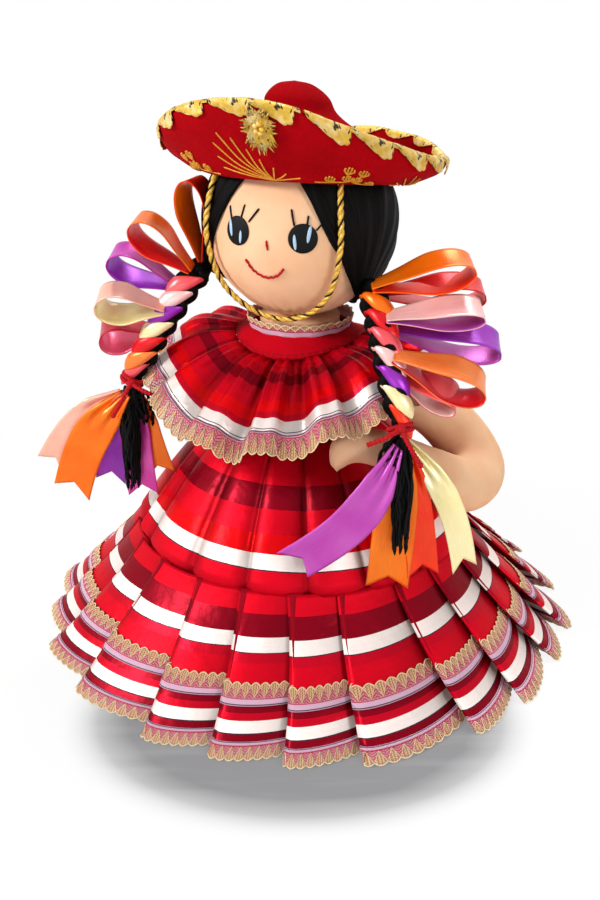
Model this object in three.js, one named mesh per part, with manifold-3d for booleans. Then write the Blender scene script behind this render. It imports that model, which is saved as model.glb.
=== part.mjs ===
// A stuffed cloth doll in a gathered, striped dress, with ribbon braids and a felt sombrero.
// Millimetres, +Z up, facing -Y, with the doll's own left at +X. The origin is on the floor,
// under the middle of the skirt.
import * as THREE from 'three';
import { mergeVertices } from 'three/addons/utils/BufferGeometryUtils.js';
import Module from 'manifold-3d';

const wasm = await Module();
wasm.setup();

// Clearances and cloth
const SEAM_GAP = 0.3; // between pieces that are sewn, laid or pressed together
const CLOTH = 1.6; // lined cloth, measured level
const LACE = 1.0; // lace band, measured level

// Dress, stacked from the floor up
const FLOUNCE_HEIGHT = 67;
const UPPER_SKIRT_HEIGHT = 83;
const BODICE_HEIGHT = 43;
const YOKE_HEIGHT = 12;
const HEM_RADIUS = 178;
const TIER_SEAM_RADIUS = 113;
const HEM_LACE_HEIGHT = 7;
const FLOUNCE_LACE_RISE = 16; // from the floor to the lower edge of the lace half way up
const FLOUNCE_LACE_HEIGHT = 11;
const FLOUNCE_PLEATS = 18;
const FLOUNCE_PLEAT_DEPTH = 8;
const SKIRT_FOLDS = 16;
const SKIRT_FOLD_DEPTH = 2.6;

// Shoulder ruffle
const RUFFLE_REACH = 59; // from the yoke out to the lace edge
const RUFFLE_DROP = 41;
const YOKE_SIDE_LIFT = 8; // the yoke's lower edge is higher over the shoulders
const RUFFLE_SIDE_LIFT = 18; // the arms hold the ruffle's edge up at the sides
const SHOULDER_PUFF = 9; // and swell it half way out
const RUFFLE_FOLDS = 16;
const RUFFLE_FOLD_DEPTH = 3;
const RUFFLE_LACE_DROP = 9;

// Stuffed body
const TORSO_RADIUS = 37;
const NECK_RADIUS = 26;
const COLLAR_RADIUS = 31;
const COLLAR_LACE_HEIGHT = 7;
const HEAD_RADIUS = 57;
const HEAD_RISE = 7; // from the top of the yoke to the underside of the chin
const HAIR_THICKNESS = 3;
const SHOULDER_DROP = 21; // from the yoke's lower edge to the shoulder
const ARM_ROOT_RADIUS = 13;
const ELBOW_RADIUS = 21;
const LEG_LENGTH = 66;
const LEG_RADIUS = 14;
const LEG_SPREAD = 19;
const SHOE_HEIGHT = 13;
const SHOE_LENGTH = 40;
const SHOE_WIDTH = 27;

// Face
const EYE_SPREAD = 20.5;
const EYE_HEIGHT = 2.5; // above the middle of the head
const EYE_WIDTH = 15.5;
const EYE_TALL = 16.5;
const STITCH_THICKNESS = 0.6;

// Sombrero, measured from the middle of the head
const CROWN_TOP = 81;
const CROWN_TIP_RADIUS = 21;
const FELT = 2.4;
const RIM_RADIUS = 86;
const RIM_HEIGHT = 49.5; // all round, before the brim is bent
const BRIM_FRONT_LIFT = 7.7; // of the rim at the front, and its drop at the back
const BRIM_FOLD = 10.5; // of the rim up at the front and back, and down at both sides
const BRIM_FOLD_TURN = 8; // degrees, from the front to where the brim is folded up most
const BRIM_SEAT_RADIUS = 56;
const HAT_TILT_BACK = 5; // degrees
const HAT_ROLL = 1; // degrees, the doll's left side down
const RIM_SCALLOPS = 24;
const RIM_TRIM_HEIGHT = 13;
const CORD_DIAMETER = 3.2;

// Braids and ribbons
const BRAID_AZIMUTH = 62; // degrees from the front, to each side
const BRAID_RADIUS = 9;
const BRAID_PLAITS = 6;
const TIE_CORD_DIAMETER = 3;
const TASSEL_LENGTH = 68;
const TASSEL_RADIUS = 7;
const RIBBON_WIDTH = 20;
const RIBBON = 0.8;
const FACING = 20; // degrees from the front, the side to which the ribbons were arranged

// Heights that follow from the stack
const SEAM_Z = FLOUNCE_HEIGHT;
const WAIST_Z = SEAM_Z + UPPER_SKIRT_HEIGHT;
const YOKE_Z = WAIST_Z + BODICE_HEIGHT;
const COLLAR_Z = YOKE_Z + YOKE_HEIGHT;
const HEAD_Z = COLLAR_Z + HEAD_RISE + HEAD_RADIUS;
const HAIR_RADIUS = HEAD_RADIUS + SEAM_GAP + HAIR_THICKNESS;
const SHOULDER_Z = YOKE_Z - SHOULDER_DROP;
const BODICE_RADIUS = TORSO_RADIUS + SEAM_GAP + CLOTH;
const WAIST_RADIUS = BODICE_RADIUS + CLOTH / 2;
const RUFFLE_TOP_RADIUS = BODICE_RADIUS + SEAM_GAP + CLOTH;
const HEAD_CENTRE = new THREE.Vector3(0, 0, HEAD_Z);

const doll = new THREE.Group();
doll.name = 'rag_doll';

const radians = THREE.MathUtils.degToRad;

// Materials
function finish(color, roughness = 0.8, metalness = 0) {
  return new THREE.MeshStandardMaterial({ color, roughness, metalness });
}
const SKIN = finish(0xe8b48a);
const BLACK_HAIR = finish(0x0b0b0d, 0.6);
const BLACK_EYE = finish(0x101216, 0.4);
const RED_THREAD = finish(0xc8141c);
const RED_CLOTH = finish(0xc00a22, 0.55);
const STRIPED_CLOTH = finish(0xb00a20, 0.4);
const WHITE_COTTON = finish(0xf2efe9);
const PINK_LACE = finish(0xe9b9a0);
const RED_FELT = finish(0xa80c18, 0.95);
const GOLD = finish(0xd9b03a, 0.35, 0.8);
const BLACK_SHOE = finish(0x171313, 0.5);
const RIBBON_COLOURS = {
  orange: finish(0xff7a1a, 0.35),
  red: finish(0xe01818, 0.35),
  purple: finish(0x9a1aa6, 0.35),
  mauve: finish(0xd87aa0, 0.35),
  peach: finish(0xf2bda0, 0.35),
  cream: finish(0xf3e6b0, 0.35),
  salmon: finish(0xe8604c, 0.35),
  magenta: finish(0xe23fa4, 0.35),
};

function add(name, geometry, material) {
  const mesh = new THREE.Mesh(geometry, material);
  mesh.name = name;
  doll.add(mesh);
  return mesh;
}

// Solids and booleans
function toSolid(geometry) {
  const bare = geometry.clone();
  for (const key of Object.keys(bare.attributes)) {
    if (key !== 'position') bare.deleteAttribute(key);
  }
  const merged = mergeVertices(bare, 1e-4);
  return new wasm.Manifold(
    new wasm.Mesh({
      numProp: 3,
      vertProperties: new Float32Array(merged.attributes.position.array),
      triVerts: new Uint32Array(merged.index.array),
    }),
  );
}

function toGeometry(solid) {
  const mesh = solid.getMesh();
  const geometry = new THREE.BufferGeometry();
  geometry.setAttribute('position', new THREE.BufferAttribute(new Float32Array(mesh.vertProperties), 3));
  geometry.setIndex(new THREE.BufferAttribute(new Uint32Array(mesh.triVerts), 1));
  return geometry;
}

function cut(geometry, ...cutters) {
  let solid = toSolid(geometry);
  for (const cutter of cutters) solid = solid.subtract(toSolid(cutter));
  return toGeometry(largest(solid));
}

// The main body of a cut solid, without the offcuts.
function largest(solid) {
  const bodies = solid.decompose();
  return bodies.reduce((best, body) => (body.volume() > best.volume() ? body : best));
}

// A solid of revolution about +Z; the profile is [radius, height] pairs.
function revolve(profile, segments) {
  const points = profile.map(([radius, height]) => new THREE.Vector2(radius, height));
  return new THREE.LatheGeometry(points, segments).rotateX(Math.PI / 2);
}

function sphere(radius, centre, across = 24, down = 16) {
  const ball = new THREE.SphereGeometry(radius, across, down).rotateX(Math.PI / 2);
  return ball.translate(centre.x, centre.y, centre.z);
}

// A closed skin through rings of points; each ring is a loop, and the rings close on one another
// (closed true) or on their own first and last points (closed false).
function skin(rings, closed) {
  const columns = rings[0].length;
  const positions = rings.flat().flatMap((p) => [p.x, p.y, p.z]);
  const triangles = [];
  const spans = closed ? rings.length : rings.length - 1;
  for (let i = 0; i < spans; i += 1) {
    const next = (i + 1) % rings.length;
    for (let j = 0; j < columns; j += 1) {
      const beside = (j + 1) % columns;
      const [a, b] = [i * columns + j, i * columns + beside];
      const [c, d] = [next * columns + j, next * columns + beside];
      triangles.push(a, c, b, b, c, d);
    }
  }
  if (!closed) {
    const last = (rings.length - 1) * columns;
    for (let j = 1; j < columns - 1; j += 1) {
      triangles.push(0, j, j + 1, last, last + j + 1, last + j);
    }
  }
  const geometry = new THREE.BufferGeometry();
  geometry.setAttribute('position', new THREE.Float32BufferAttribute(positions, 3));
  geometry.setIndex(triangles);
  return outward(geometry);
}

// The same skin with its faces pointing out, whichever way its rings ran.
function outward(geometry) {
  const position = geometry.attributes.position;
  const corner = [0, 1, 2].map(() => new THREE.Vector3());
  let volume = 0;
  const index = geometry.index.array;
  for (let i = 0; i < index.length; i += 3) {
    corner.forEach((v, k) => v.fromBufferAttribute(position, index[i + k]));
    volume += corner[0].dot(corner[1].cross(corner[2]));
  }
  if (volume < 0) {
    for (let i = 0; i < index.length; i += 3) [index[i + 1], index[i + 2]] = [index[i + 2], index[i + 1]];
  }
  return geometry;
}

// A stuffed limb along a curve: radiusAt(0..1) swells and tapers, and both ends are rounded.
function limb(curve, radiusAt, stations, sides) {
  const length = curve.getLength();
  const frames = curve.computeFrenetFrames(stations, false);
  const rings = [];
  for (let i = 0; i <= stations; i += 1) {
    const t = i / stations;
    const centre = curve.getPointAt(t);
    const radius = radiusAt(t) * roundedEnd(t * length, radiusAt(0)) * roundedEnd((1 - t) * length, radiusAt(1));
    const ring = [];
    for (let j = 0; j < sides; j += 1) {
      const turn = (2 * Math.PI * j) / sides;
      ring.push(
        centre
          .clone()
          .addScaledVector(frames.normals[i], Math.max(radius, 0.4) * Math.cos(turn))
          .addScaledVector(frames.binormals[i], Math.max(radius, 0.4) * Math.sin(turn)),
      );
    }
    rings.push(ring);
  }
  return skin(rings, false);
}

function roundedEnd(distance, cap) {
  return distance >= cap ? 1 : Math.sqrt(Math.max(0, 1 - (1 - distance / cap) ** 2));
}

// Straight-line interpolation through [position, value] knots.
function along(knots) {
  return (t) => {
    const upper = Math.max(1, knots.findIndex(([at]) => at >= t - 1e-9));
    const [[t0, v0], [t1, v1]] = [knots[upper - 1], knots[upper]];
    return v0 + ((v1 - v0) * (t - t0)) / (t1 - t0);
  };
}

function smoothCurve(points) {
  return new THREE.CatmullRomCurve3(points, false, 'centripetal');
}

// Cloth tiers: a bell of cloth that hangs in folds, as a shell with its thickness along outward and upward.
// bell gives the mid radius and height at share s of the drop; fold adds to the radius.
function bell(topRadius, topZ, bottomRadius, bottomZ, power) {
  return (s) => ({
    radius: topRadius + (bottomRadius - topRadius) * s ** power,
    z: topZ + (bottomZ - topZ) * s,
  });
}

function tierSheet(tier, shares, inner, outer) {
  const section = [...shares.map((s) => [s, outer]), ...shares.toReversed().map((s) => [s, inner])];
  const rings = section.map(([s, offset]) => {
    const { radius, z } = tier.profile(s);
    const ring = [];
    for (let j = 0; j < tier.columns; j += 1) {
      const turn = (2 * Math.PI * j) / tier.columns;
      const reach = (radius + tier.fold(j, s) + offset * tier.outward) * tier.stretch(turn, s);
      const height = z + tier.lift(turn, s) + offset * tier.upward;
      ring.push(new THREE.Vector3(reach * Math.sin(turn), -reach * Math.cos(turn), height));
    }
    return ring;
  });
  return skin(rings, true);
}

const level = () => 0;
const round = () => 1;
const steep = { outward: 1, upward: 0 }; // thickness of a tier that hangs down
const spread = { outward: 0.5, upward: 0.85 }; // thickness of a tier that lies out
const KNIFE_PLEAT = [0, 1, 0.35]; // one long face and its short return
const SOFT_FOLD = [0, 1];

function folds(shape, count, topDepth, bottomDepth) {
  return {
    columns: count * shape.length,
    fold: (column, s) => (shape[column % shape.length] - 0.5) * (topDepth + (bottomDepth - topDepth) * s),
  };
}

// Skirt
const upperSkirt = {
  profile: bell(WAIST_RADIUS, WAIST_Z, TIER_SEAM_RADIUS, SEAM_Z + SEAM_GAP, 0.75),
  stretch: round,
  lift: level,
  ...steep,
  ...folds(SOFT_FOLD, SKIRT_FOLDS, SKIRT_FOLD_DEPTH / 4, SKIRT_FOLD_DEPTH),
};
const flounce = {
  profile: bell(TIER_SEAM_RADIUS, SEAM_Z, HEM_RADIUS - FLOUNCE_PLEAT_DEPTH / 2, 0, 1.25),
  stretch: round,
  lift: level,
  ...steep,
  ...folds(KNIFE_PLEAT, FLOUNCE_PLEATS, FLOUNCE_PLEAT_DEPTH / 5, FLOUNCE_PLEAT_DEPTH),
};
const flounceShare = (z) => 1 - z / FLOUNCE_HEIGHT;
const laceTop = flounceShare(FLOUNCE_LACE_RISE + FLOUNCE_LACE_HEIGHT);
const laceFoot = flounceShare(FLOUNCE_LACE_RISE);
const hemTop = flounceShare(HEM_LACE_HEIGHT);
const hemSeam = flounceShare(HEM_LACE_HEIGHT - SEAM_GAP);
const overCloth = CLOTH / 2 + SEAM_GAP;

add('upper_skirt', tierSheet(upperSkirt, [0, 0.12, 0.42, 1], -CLOTH / 2, CLOTH / 2), STRIPED_CLOTH);
add(
  'flounce',
  tierSheet(flounce, [0, laceTop, laceFoot, hemTop], -CLOTH / 2, CLOTH / 2),
  STRIPED_CLOTH,
);
add('flounce_lace', tierSheet(flounce, [laceTop, laceFoot], overCloth, overCloth + LACE), PINK_LACE);
add('hem_lace', tierSheet(flounce, [hemSeam, 1], -LACE / 2, LACE / 2), PINK_LACE);

// A stiff petticoat holds the skirt out. It hangs from the torso, clear of the folds.
const PETTICOAT_CLEARANCE = 18;
const PETTICOAT_FOOT = 5;
const petticoat = {
  profile: bell(
    TORSO_RADIUS + SEAM_GAP + CLOTH / 2,
    WAIST_Z - CLOTH - SEAM_GAP,
    HEM_RADIUS - FLOUNCE_PLEAT_DEPTH - PETTICOAT_CLEARANCE,
    PETTICOAT_FOOT,
    1,
  ),
  stretch: round,
  lift: level,
  ...steep,
  columns: 24,
  fold: level,
};
add('petticoat', tierSheet(petticoat, [0, 0.5, 1], -CLOTH / 2, CLOTH / 2), WHITE_COTTON);

// Bodice, yoke and collar
const plainBand = { ...steep, stretch: round, lift: level, columns: 28, fold: level };
const ARMHOLE_RADIUS = ARM_ROOT_RADIUS + 4;
const armholes = new THREE.CylinderGeometry(ARMHOLE_RADIUS, ARMHOLE_RADIUS, 4 * TORSO_RADIUS, 16)
  .rotateZ(Math.PI / 2)
  .translate(0, 0, SHOULDER_Z);
const bodice = {
  ...plainBand,
  profile: bell(BODICE_RADIUS - CLOTH / 2, YOKE_Z, BODICE_RADIUS - CLOTH / 2, WAIST_Z + SEAM_GAP, 1),
};
add('bodice', cut(tierSheet(bodice, [0, 1], -CLOTH / 2, CLOTH / 2), armholes), RED_CLOTH);

const yoke = {
  ...plainBand,
  columns: 2 * RUFFLE_FOLDS,
  profile: bell(COLLAR_RADIUS, COLLAR_Z, RUFFLE_TOP_RADIUS, YOKE_Z + SEAM_GAP, 1),
  lift: (turn, s) => YOKE_SIDE_LIFT * s * Math.sin(turn) ** 2,
};
add('yoke', tierSheet(yoke, [0, 1], -CLOTH / 2, CLOTH / 2), RED_CLOTH);

const collar = {
  profile: bell(COLLAR_RADIUS + 2, COLLAR_Z + COLLAR_LACE_HEIGHT, COLLAR_RADIUS, COLLAR_Z + SEAM_GAP, 1),
  stretch: round,
  lift: level,
  ...steep,
  ...folds(SOFT_FOLD, 12, 2, 0.6),
};
add('collar_lace', tierSheet(collar, [0, 1], -LACE / 2, LACE / 2), PINK_LACE);

// Shoulder ruffle, held up at the sides by the arms
const ruffle = {
  profile: bell(
    RUFFLE_TOP_RADIUS,
    YOKE_Z - CLOTH / 2,
    RUFFLE_TOP_RADIUS + RUFFLE_REACH,
    YOKE_Z - RUFFLE_DROP,
    0.7,
  ),
  stretch: (turn, s) => 1 - 0.05 * s * Math.sin(turn) ** 2,
  lift: (turn, s) => (
    (YOKE_SIDE_LIFT + RUFFLE_SIDE_LIFT * s + SHOULDER_PUFF * Math.sin(Math.PI * s)) * Math.sin(turn) ** 2
  ),
  ...spread,
  ...folds(SOFT_FOLD, RUFFLE_FOLDS, RUFFLE_FOLD_DEPTH / 5, RUFFLE_FOLD_DEPTH),
};
const ruffleHem = 1 - RUFFLE_LACE_DROP / RUFFLE_DROP;
const ruffleSeam = ruffleHem + SEAM_GAP / RUFFLE_DROP;
add('ruffle', tierSheet(ruffle, [0, 0.07, 0.35, ruffleHem], -CLOTH / 2, CLOTH / 2), STRIPED_CLOTH);
add('ruffle_lace', tierSheet(ruffle, [ruffleSeam, 1], -LACE / 2, LACE / 2), PINK_LACE);

// Legs and shoes; the top of each leg is a ball on its hip pivot
const LEG_FOOT = 4; // the foot stands inside the shoe, this far off the floor
const HIP_Z = SHOE_HEIGHT + LEG_LENGTH - LEG_RADIUS;
const TORSO_FOOT = HIP_Z + LEG_RADIUS + SEAM_GAP;
for (const [side, x] of [['left', LEG_SPREAD], ['right', -LEG_SPREAD]]) {
  const line = new THREE.LineCurve3(new THREE.Vector3(x, 0, HIP_Z + LEG_RADIUS), new THREE.Vector3(x, 0, LEG_FOOT));
  const girth = along([[0, LEG_RADIUS], [0.35, LEG_RADIUS], [0.8, LEG_RADIUS - 4], [1, LEG_RADIUS - 4]]);
  add(`leg_${side}`, limb(line, girth, 10, 10), SKIN);
  const foot = new THREE.CylinderGeometry(LEG_RADIUS - 2, LEG_RADIUS - 4 + SEAM_GAP, LEG_LENGTH / 2, 12)
    .rotateX(Math.PI / 2)
    .translate(x, 0, LEG_FOOT - SEAM_GAP + LEG_LENGTH / 4);
  const upper = new THREE.SphereGeometry(1, 14, 8)
    .scale(SHOE_WIDTH / 2, SHOE_LENGTH / 2, SHOE_HEIGHT)
    .translate(x, -SHOE_LENGTH / 2 + LEG_RADIUS, SHOE_HEIGHT / 5);
  const floor = new THREE.BoxGeometry(200, 200, 100).translate(0, 0, -50);
  add(`shoe_${side}`, cut(upper, floor, foot), BLACK_SHOE);
}

// Torso with its neck, hollowed where the head sits on it
const SHOULDER_SLOPE = 8;
const torso = revolve(
  [
    [0, TORSO_FOOT],
    [TORSO_RADIUS * 0.82, TORSO_FOOT],
    [TORSO_RADIUS * 0.95, TORSO_FOOT + 16],
    [TORSO_RADIUS, TORSO_FOOT + 40],
    [TORSO_RADIUS, SHOULDER_Z + SHOULDER_SLOPE / 2],
    [TORSO_RADIUS - 3, YOKE_Z - SHOULDER_SLOPE],
    [NECK_RADIUS + 5, YOKE_Z],
    [NECK_RADIUS, COLLAR_Z - YOKE_HEIGHT / 3],
    [NECK_RADIUS, COLLAR_Z + HEAD_RISE + HEAD_RADIUS / 6],
    [0, COLLAR_Z + HEAD_RISE + HEAD_RADIUS / 6],
  ],
  22,
);
add('torso', cut(torso, sphere(HEAD_RADIUS + SEAM_GAP, HEAD_CENTRE)), SKIN);

// Arms: each root is a ball on its shoulder pivot, and the arm bends round the skirt under the ruffle.
// Points are [out, back, height over the waist, radius]; out and back count from the shoulder pivot.
const SHOULDER_X = TORSO_RADIUS + SEAM_GAP + ARM_ROOT_RADIUS;
const HAND_RADIUS = ARM_ROOT_RADIUS - 1;
const ARM_PATHS = {
  left: [
    [-ARM_ROOT_RADIUS, 0, SHOULDER_Z - WAIST_Z + 3, ARM_ROOT_RADIUS],
    [0, 0, SHOULDER_Z - WAIST_Z, ARM_ROOT_RADIUS],
    [22, 14, 6, (ARM_ROOT_RADIUS + ELBOW_RADIUS) / 2 - 1],
    [46, 30, -16, ELBOW_RADIUS - 1],
    [64, 26, -40, ELBOW_RADIUS],
    [62, -4, -40, ELBOW_RADIUS - 1],
    [46, -33, -22, HAND_RADIUS + 3.5],
    [20, -52, -8, HAND_RADIUS + 0.5],
    [2, -63, -7, HAND_RADIUS],
    [-6, -66, -24, HAND_RADIUS / 3],
  ],
  right: [
    [-ARM_ROOT_RADIUS, 0, SHOULDER_Z - WAIST_Z + 3, ARM_ROOT_RADIUS],
    [0, 0, SHOULDER_Z - WAIST_Z, ARM_ROOT_RADIUS],
    [18, 24, 6, (ARM_ROOT_RADIUS + ELBOW_RADIUS) / 2 - 1],
    [32, 60, -21, ELBOW_RADIUS - 2],
    [24, 92, -38, ELBOW_RADIUS],
    [2, 104, -38, ELBOW_RADIUS - 2],
    [-20, 98, -24, HAND_RADIUS + 3],
    [-36, 86, -14, HAND_RADIUS],
    [-45, 82, -30, HAND_RADIUS / 3],
  ],
};
for (const [side, sign] of [['left', 1], ['right', -1]]) {
  const path = ARM_PATHS[side];
  const points = path.map(([out, back, rise]) => new THREE.Vector3(sign * (SHOULDER_X + out), back, WAIST_Z + rise));
  const curve = smoothCurve(points);
  const lengths = curve.getLengths(200);
  const shareOf = (i) => lengths[Math.round((200 * i) / (points.length - 1))] / lengths[200];
  const girth = along(path.map(([, , , radius], i) => [shareOf(i), radius]));
  add(`arm_${side}`, limb(curve, girth, 20, 10), SKIN);
}

// Head, hair and stitched face. The face pieces lie on the head's skin.
add('head', sphere(HEAD_RADIUS, HEAD_CENTRE), SKIN);

function prism(outline, from, to) {
  const shape = new THREE.Shape(outline.map(([x, z]) => new THREE.Vector2(x, z)));
  return new THREE.ExtrudeGeometry(shape, { depth: to - from, bevelEnabled: false })
    .rotateX(Math.PI / 2)
    .translate(0, -from, HEAD_Z);
}

const NAPE = -0.74 * HEAD_RADIUS;
const HAIRLINE = [
  [0, 0.81], [0.19, 0.7], [0.4, 0.46], [0.56, 0.14], [0.63, -0.14], [0.66, -0.4], [0.72, -0.64], [0.8, -0.8],
].map(([x, z]) => [x * HEAD_RADIUS, z * HEAD_RADIUS]);
const facePrism = prism([...HAIRLINE.toReversed().map(([x, z]) => [-x, z]).slice(0, -1), ...HAIRLINE], 8, 2 * HEAD_RADIUS);
const below = new THREE.BoxGeometry(400, 400, 200).translate(0, 0, HEAD_Z + NAPE - 100);
add(
  'hair',
  cut(sphere(HAIR_RADIUS, HEAD_CENTRE), sphere(HEAD_RADIUS + SEAM_GAP, HEAD_CENTRE), facePrism, below),
  BLACK_HAIR,
);

function stitched(name, outline, material) {
  const patch = toSolid(prism(outline, HEAD_RADIUS / 4, 2 * HEAD_RADIUS))
    .intersect(toSolid(sphere(HEAD_RADIUS + SEAM_GAP + STITCH_THICKNESS, HEAD_CENTRE)))
    .subtract(toSolid(sphere(HEAD_RADIUS + SEAM_GAP, HEAD_CENTRE)));
  add(name, toGeometry(patch), material);
}

function oval(x, z, width, height, count) {
  return Array.from({ length: count }, (_, i) => {
    const turn = (2 * Math.PI * i) / count;
    return [x + (width / 2) * Math.cos(turn), z + (height / 2) * Math.sin(turn)];
  });
}

stitched('eye_left', oval(EYE_SPREAD, EYE_HEIGHT, EYE_WIDTH, EYE_TALL, 18), BLACK_EYE);
stitched('eye_right', oval(-EYE_SPREAD, EYE_HEIGHT, EYE_WIDTH, EYE_TALL, 18), BLACK_EYE);
stitched('nose_stitch', oval(-1, -5, 2.2, 6, 10), RED_THREAD);
const SMILE = [[-16, -15], [-11, -22], [-4, -25.5], [3, -24], [7.5, -19.5]];
const SMILE_WIDTH = 2;
stitched(
  'mouth_stitch',
  [...SMILE.map(([x, z]) => [x, z - SMILE_WIDTH / 2]), ...SMILE.toReversed().map(([x, z]) => [x, z + SMILE_WIDTH / 2])],
  RED_THREAD,
);

// Sombrero: its seat is part of a sphere about the head's middle, so it can tip on the hair.
const SEAT = HAIR_RADIUS + 2 * SEAM_GAP;
const seatHeight = (radius) => Math.sqrt(SEAT ** 2 - radius ** 2);
const BRIM_OUTSIDE = [
  [BRIM_SEAT_RADIUS + 3, seatHeight(BRIM_SEAT_RADIUS - 2) - 1],
  [BRIM_SEAT_RADIUS + 11, RIM_HEIGHT - 20],
  [RIM_RADIUS - 10, RIM_HEIGHT - 13.5],
  [RIM_RADIUS - 3, RIM_HEIGHT - 7],
  [RIM_RADIUS, RIM_HEIGHT],
];
const SEAT_RINGS = [24, 32, 40, 46, BRIM_SEAT_RADIUS - 2];
const crownOutside = [
  [0, CROWN_TOP],
  [CROWN_TIP_RADIUS * 0.55, CROWN_TOP - 2],
  [CROWN_TIP_RADIUS, CROWN_TOP - 9],
  [CROWN_TIP_RADIUS + 3, CROWN_TOP - 17],
];
const feltOver = SEAT_RINGS.slice(1, 4).map((radius) => [radius, seatHeight(radius) + 1.35 * FELT]);
const brimInside = BRIM_OUTSIDE.map(([radius, height], i) => (
  i === 0 ? [radius - 1, height + FELT] : [radius - 0.8 * FELT, height + 0.8 * FELT]
));
const crownInside = [
  [CROWN_TIP_RADIUS + 0.5, CROWN_TOP - 18],
  [CROWN_TIP_RADIUS - FELT, CROWN_TOP - 11],
  [CROWN_TIP_RADIUS * 0.4, CROWN_TOP - FELT - 2],
  [0, CROWN_TOP - FELT],
];
// The felt brim is bent up and down round its rim, more the further out.
function bendBrim(geometry) {
  const position = geometry.attributes.position;
  for (let i = 0; i < position.count; i += 1) {
    const [x, y] = [position.getX(i), position.getY(i)];
    const out = THREE.MathUtils.clamp((Math.hypot(x, y) - BRIM_OUTSIDE[0][0]) / (RIM_RADIUS - BRIM_OUTSIDE[0][0]), 0, 1);
    const turn = Math.atan2(x, -y);
    const fold = BRIM_FOLD * Math.cos(2 * (turn + radians(BRIM_FOLD_TURN)));
    position.setZ(i, position.getZ(i) + out * (BRIM_FRONT_LIFT * Math.cos(turn) + fold));
  }
  return geometry;
}
const placeHat = (geometry) => bendBrim(geometry)
  .rotateX(radians(-HAT_TILT_BACK))
  .rotateY(radians(HAT_ROLL))
  .translate(HEAD_CENTRE.x, HEAD_CENTRE.y, HEAD_CENTRE.z);
const seatInside = SEAT_RINGS.toReversed().map((radius) => [radius, seatHeight(radius)]);
const hatProfile = [
  ...crownOutside, ...feltOver, ...brimInside, ...BRIM_OUTSIDE.toReversed(), ...seatInside, ...crownInside,
];
const HAT_SEGMENTS = 32;
const hat = placeHat(outward(mergeVertices(bare(revolve(hatProfile, HAT_SEGMENTS)), 1e-4)));
add('sombrero', hat, RED_FELT);

function bare(geometry) {
  geometry.deleteAttribute('normal');
  geometry.deleteAttribute('uv');
  return geometry;
}

// Gold trim: leaf-shaped scallops down the outside of the rim
const TRIM_GAP = 1;
const SCALLOP = [1, 0.55];
const brimRadius = (height) => {
  const upper = Math.max(1, BRIM_OUTSIDE.findIndex(([, at]) => at >= height - 1e-9));
  const [[r0, h0], [r1, h1]] = [BRIM_OUTSIDE[upper - 1], BRIM_OUTSIDE[upper]];
  return r0 + ((r1 - r0) * (height - h0)) / (h1 - h0);
};
const trimRings = [[0, LACE], [0.55, LACE], [1, LACE], [1, 0], [0.55, 0], [0, 0]].map(([s, offset]) => {
  const ring = [];
  for (let j = 0; j < RIM_SCALLOPS * SCALLOP.length; j += 1) {
    const turn = (2 * Math.PI * j) / (RIM_SCALLOPS * SCALLOP.length);
    const height = RIM_HEIGHT - 1 - s * RIM_TRIM_HEIGHT * SCALLOP[j % SCALLOP.length];
    const radius = brimRadius(height) + TRIM_GAP + offset;
    ring.push(new THREE.Vector3(radius * Math.sin(turn), -radius * Math.cos(turn), height - 0.3));
  }
  return ring;
});
add('rim_trim', placeHat(skin(trimRings, true)), GOLD);

// Gold flower on the front of the brim, over the trim
const FLOWER_RADIUS = 12;
const FLOWER_PETALS = 6;
const petals = Array.from({ length: FLOWER_PETALS * 4 }, (_, i) => {
  const reach = FLOWER_RADIUS * [1, 0.86, 0.5, 0.86][i % 4];
  const turn = (Math.PI * i) / (FLOWER_PETALS * 2);
  return new THREE.Vector2(reach * Math.cos(turn), reach * Math.sin(turn));
});
const FLOWER_HEIGHT = RIM_HEIGHT - 9;
const FLOWER_LEAN = 42; // degrees, with the lean of the brim
const flower = new THREE.ExtrudeGeometry(new THREE.Shape(petals), { depth: LACE, bevelEnabled: false })
  .rotateX(Math.PI / 2 + radians(FLOWER_LEAN))
  .translate(0, -(brimRadius(FLOWER_HEIGHT) + TRIM_GAP + 2 * LACE + SEAM_GAP), FLOWER_HEIGHT)
  .rotateZ(radians(4));
add('hat_flower', placeHat(flower), GOLD);

// Chin cord, hung from the hat at both sides
const CORD_REACH = SEAT + CORD_DIAMETER / 2 + SEAM_GAP;
const cordHalf = [[40, -40, 34], [39, -43, 18], [41, -46.5, -3], [34, -42, -31], [18, -36, -48]];
const cordPoints = [
  ...cordHalf, [0, -33, -53], ...cordHalf.toReversed().map(([x, y, z]) => [-x, y, z]),
].map(([x, y, z]) => new THREE.Vector3(x, y, z).setLength(CORD_REACH).add(HEAD_CENTRE));
const cord = toSolid(limb(smoothCurve(cordPoints), () => CORD_DIAMETER / 2, 26, 6));
const hatBelow = toSolid(doll.getObjectByName('sombrero').geometry).translate([0, 0, -SEAM_GAP]);
add('chin_cord', toGeometry(largest(cord.subtract(hatBelow))), GOLD);

// Braids, with their tied ends, tassels and ribbons
const TIE_NECK = 5;
const VIEWER = new THREE.Vector3(Math.sin(radians(FACING)), -Math.cos(radians(FACING)), 0);
const UP = new THREE.Vector3(0, 0, 1);

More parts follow.
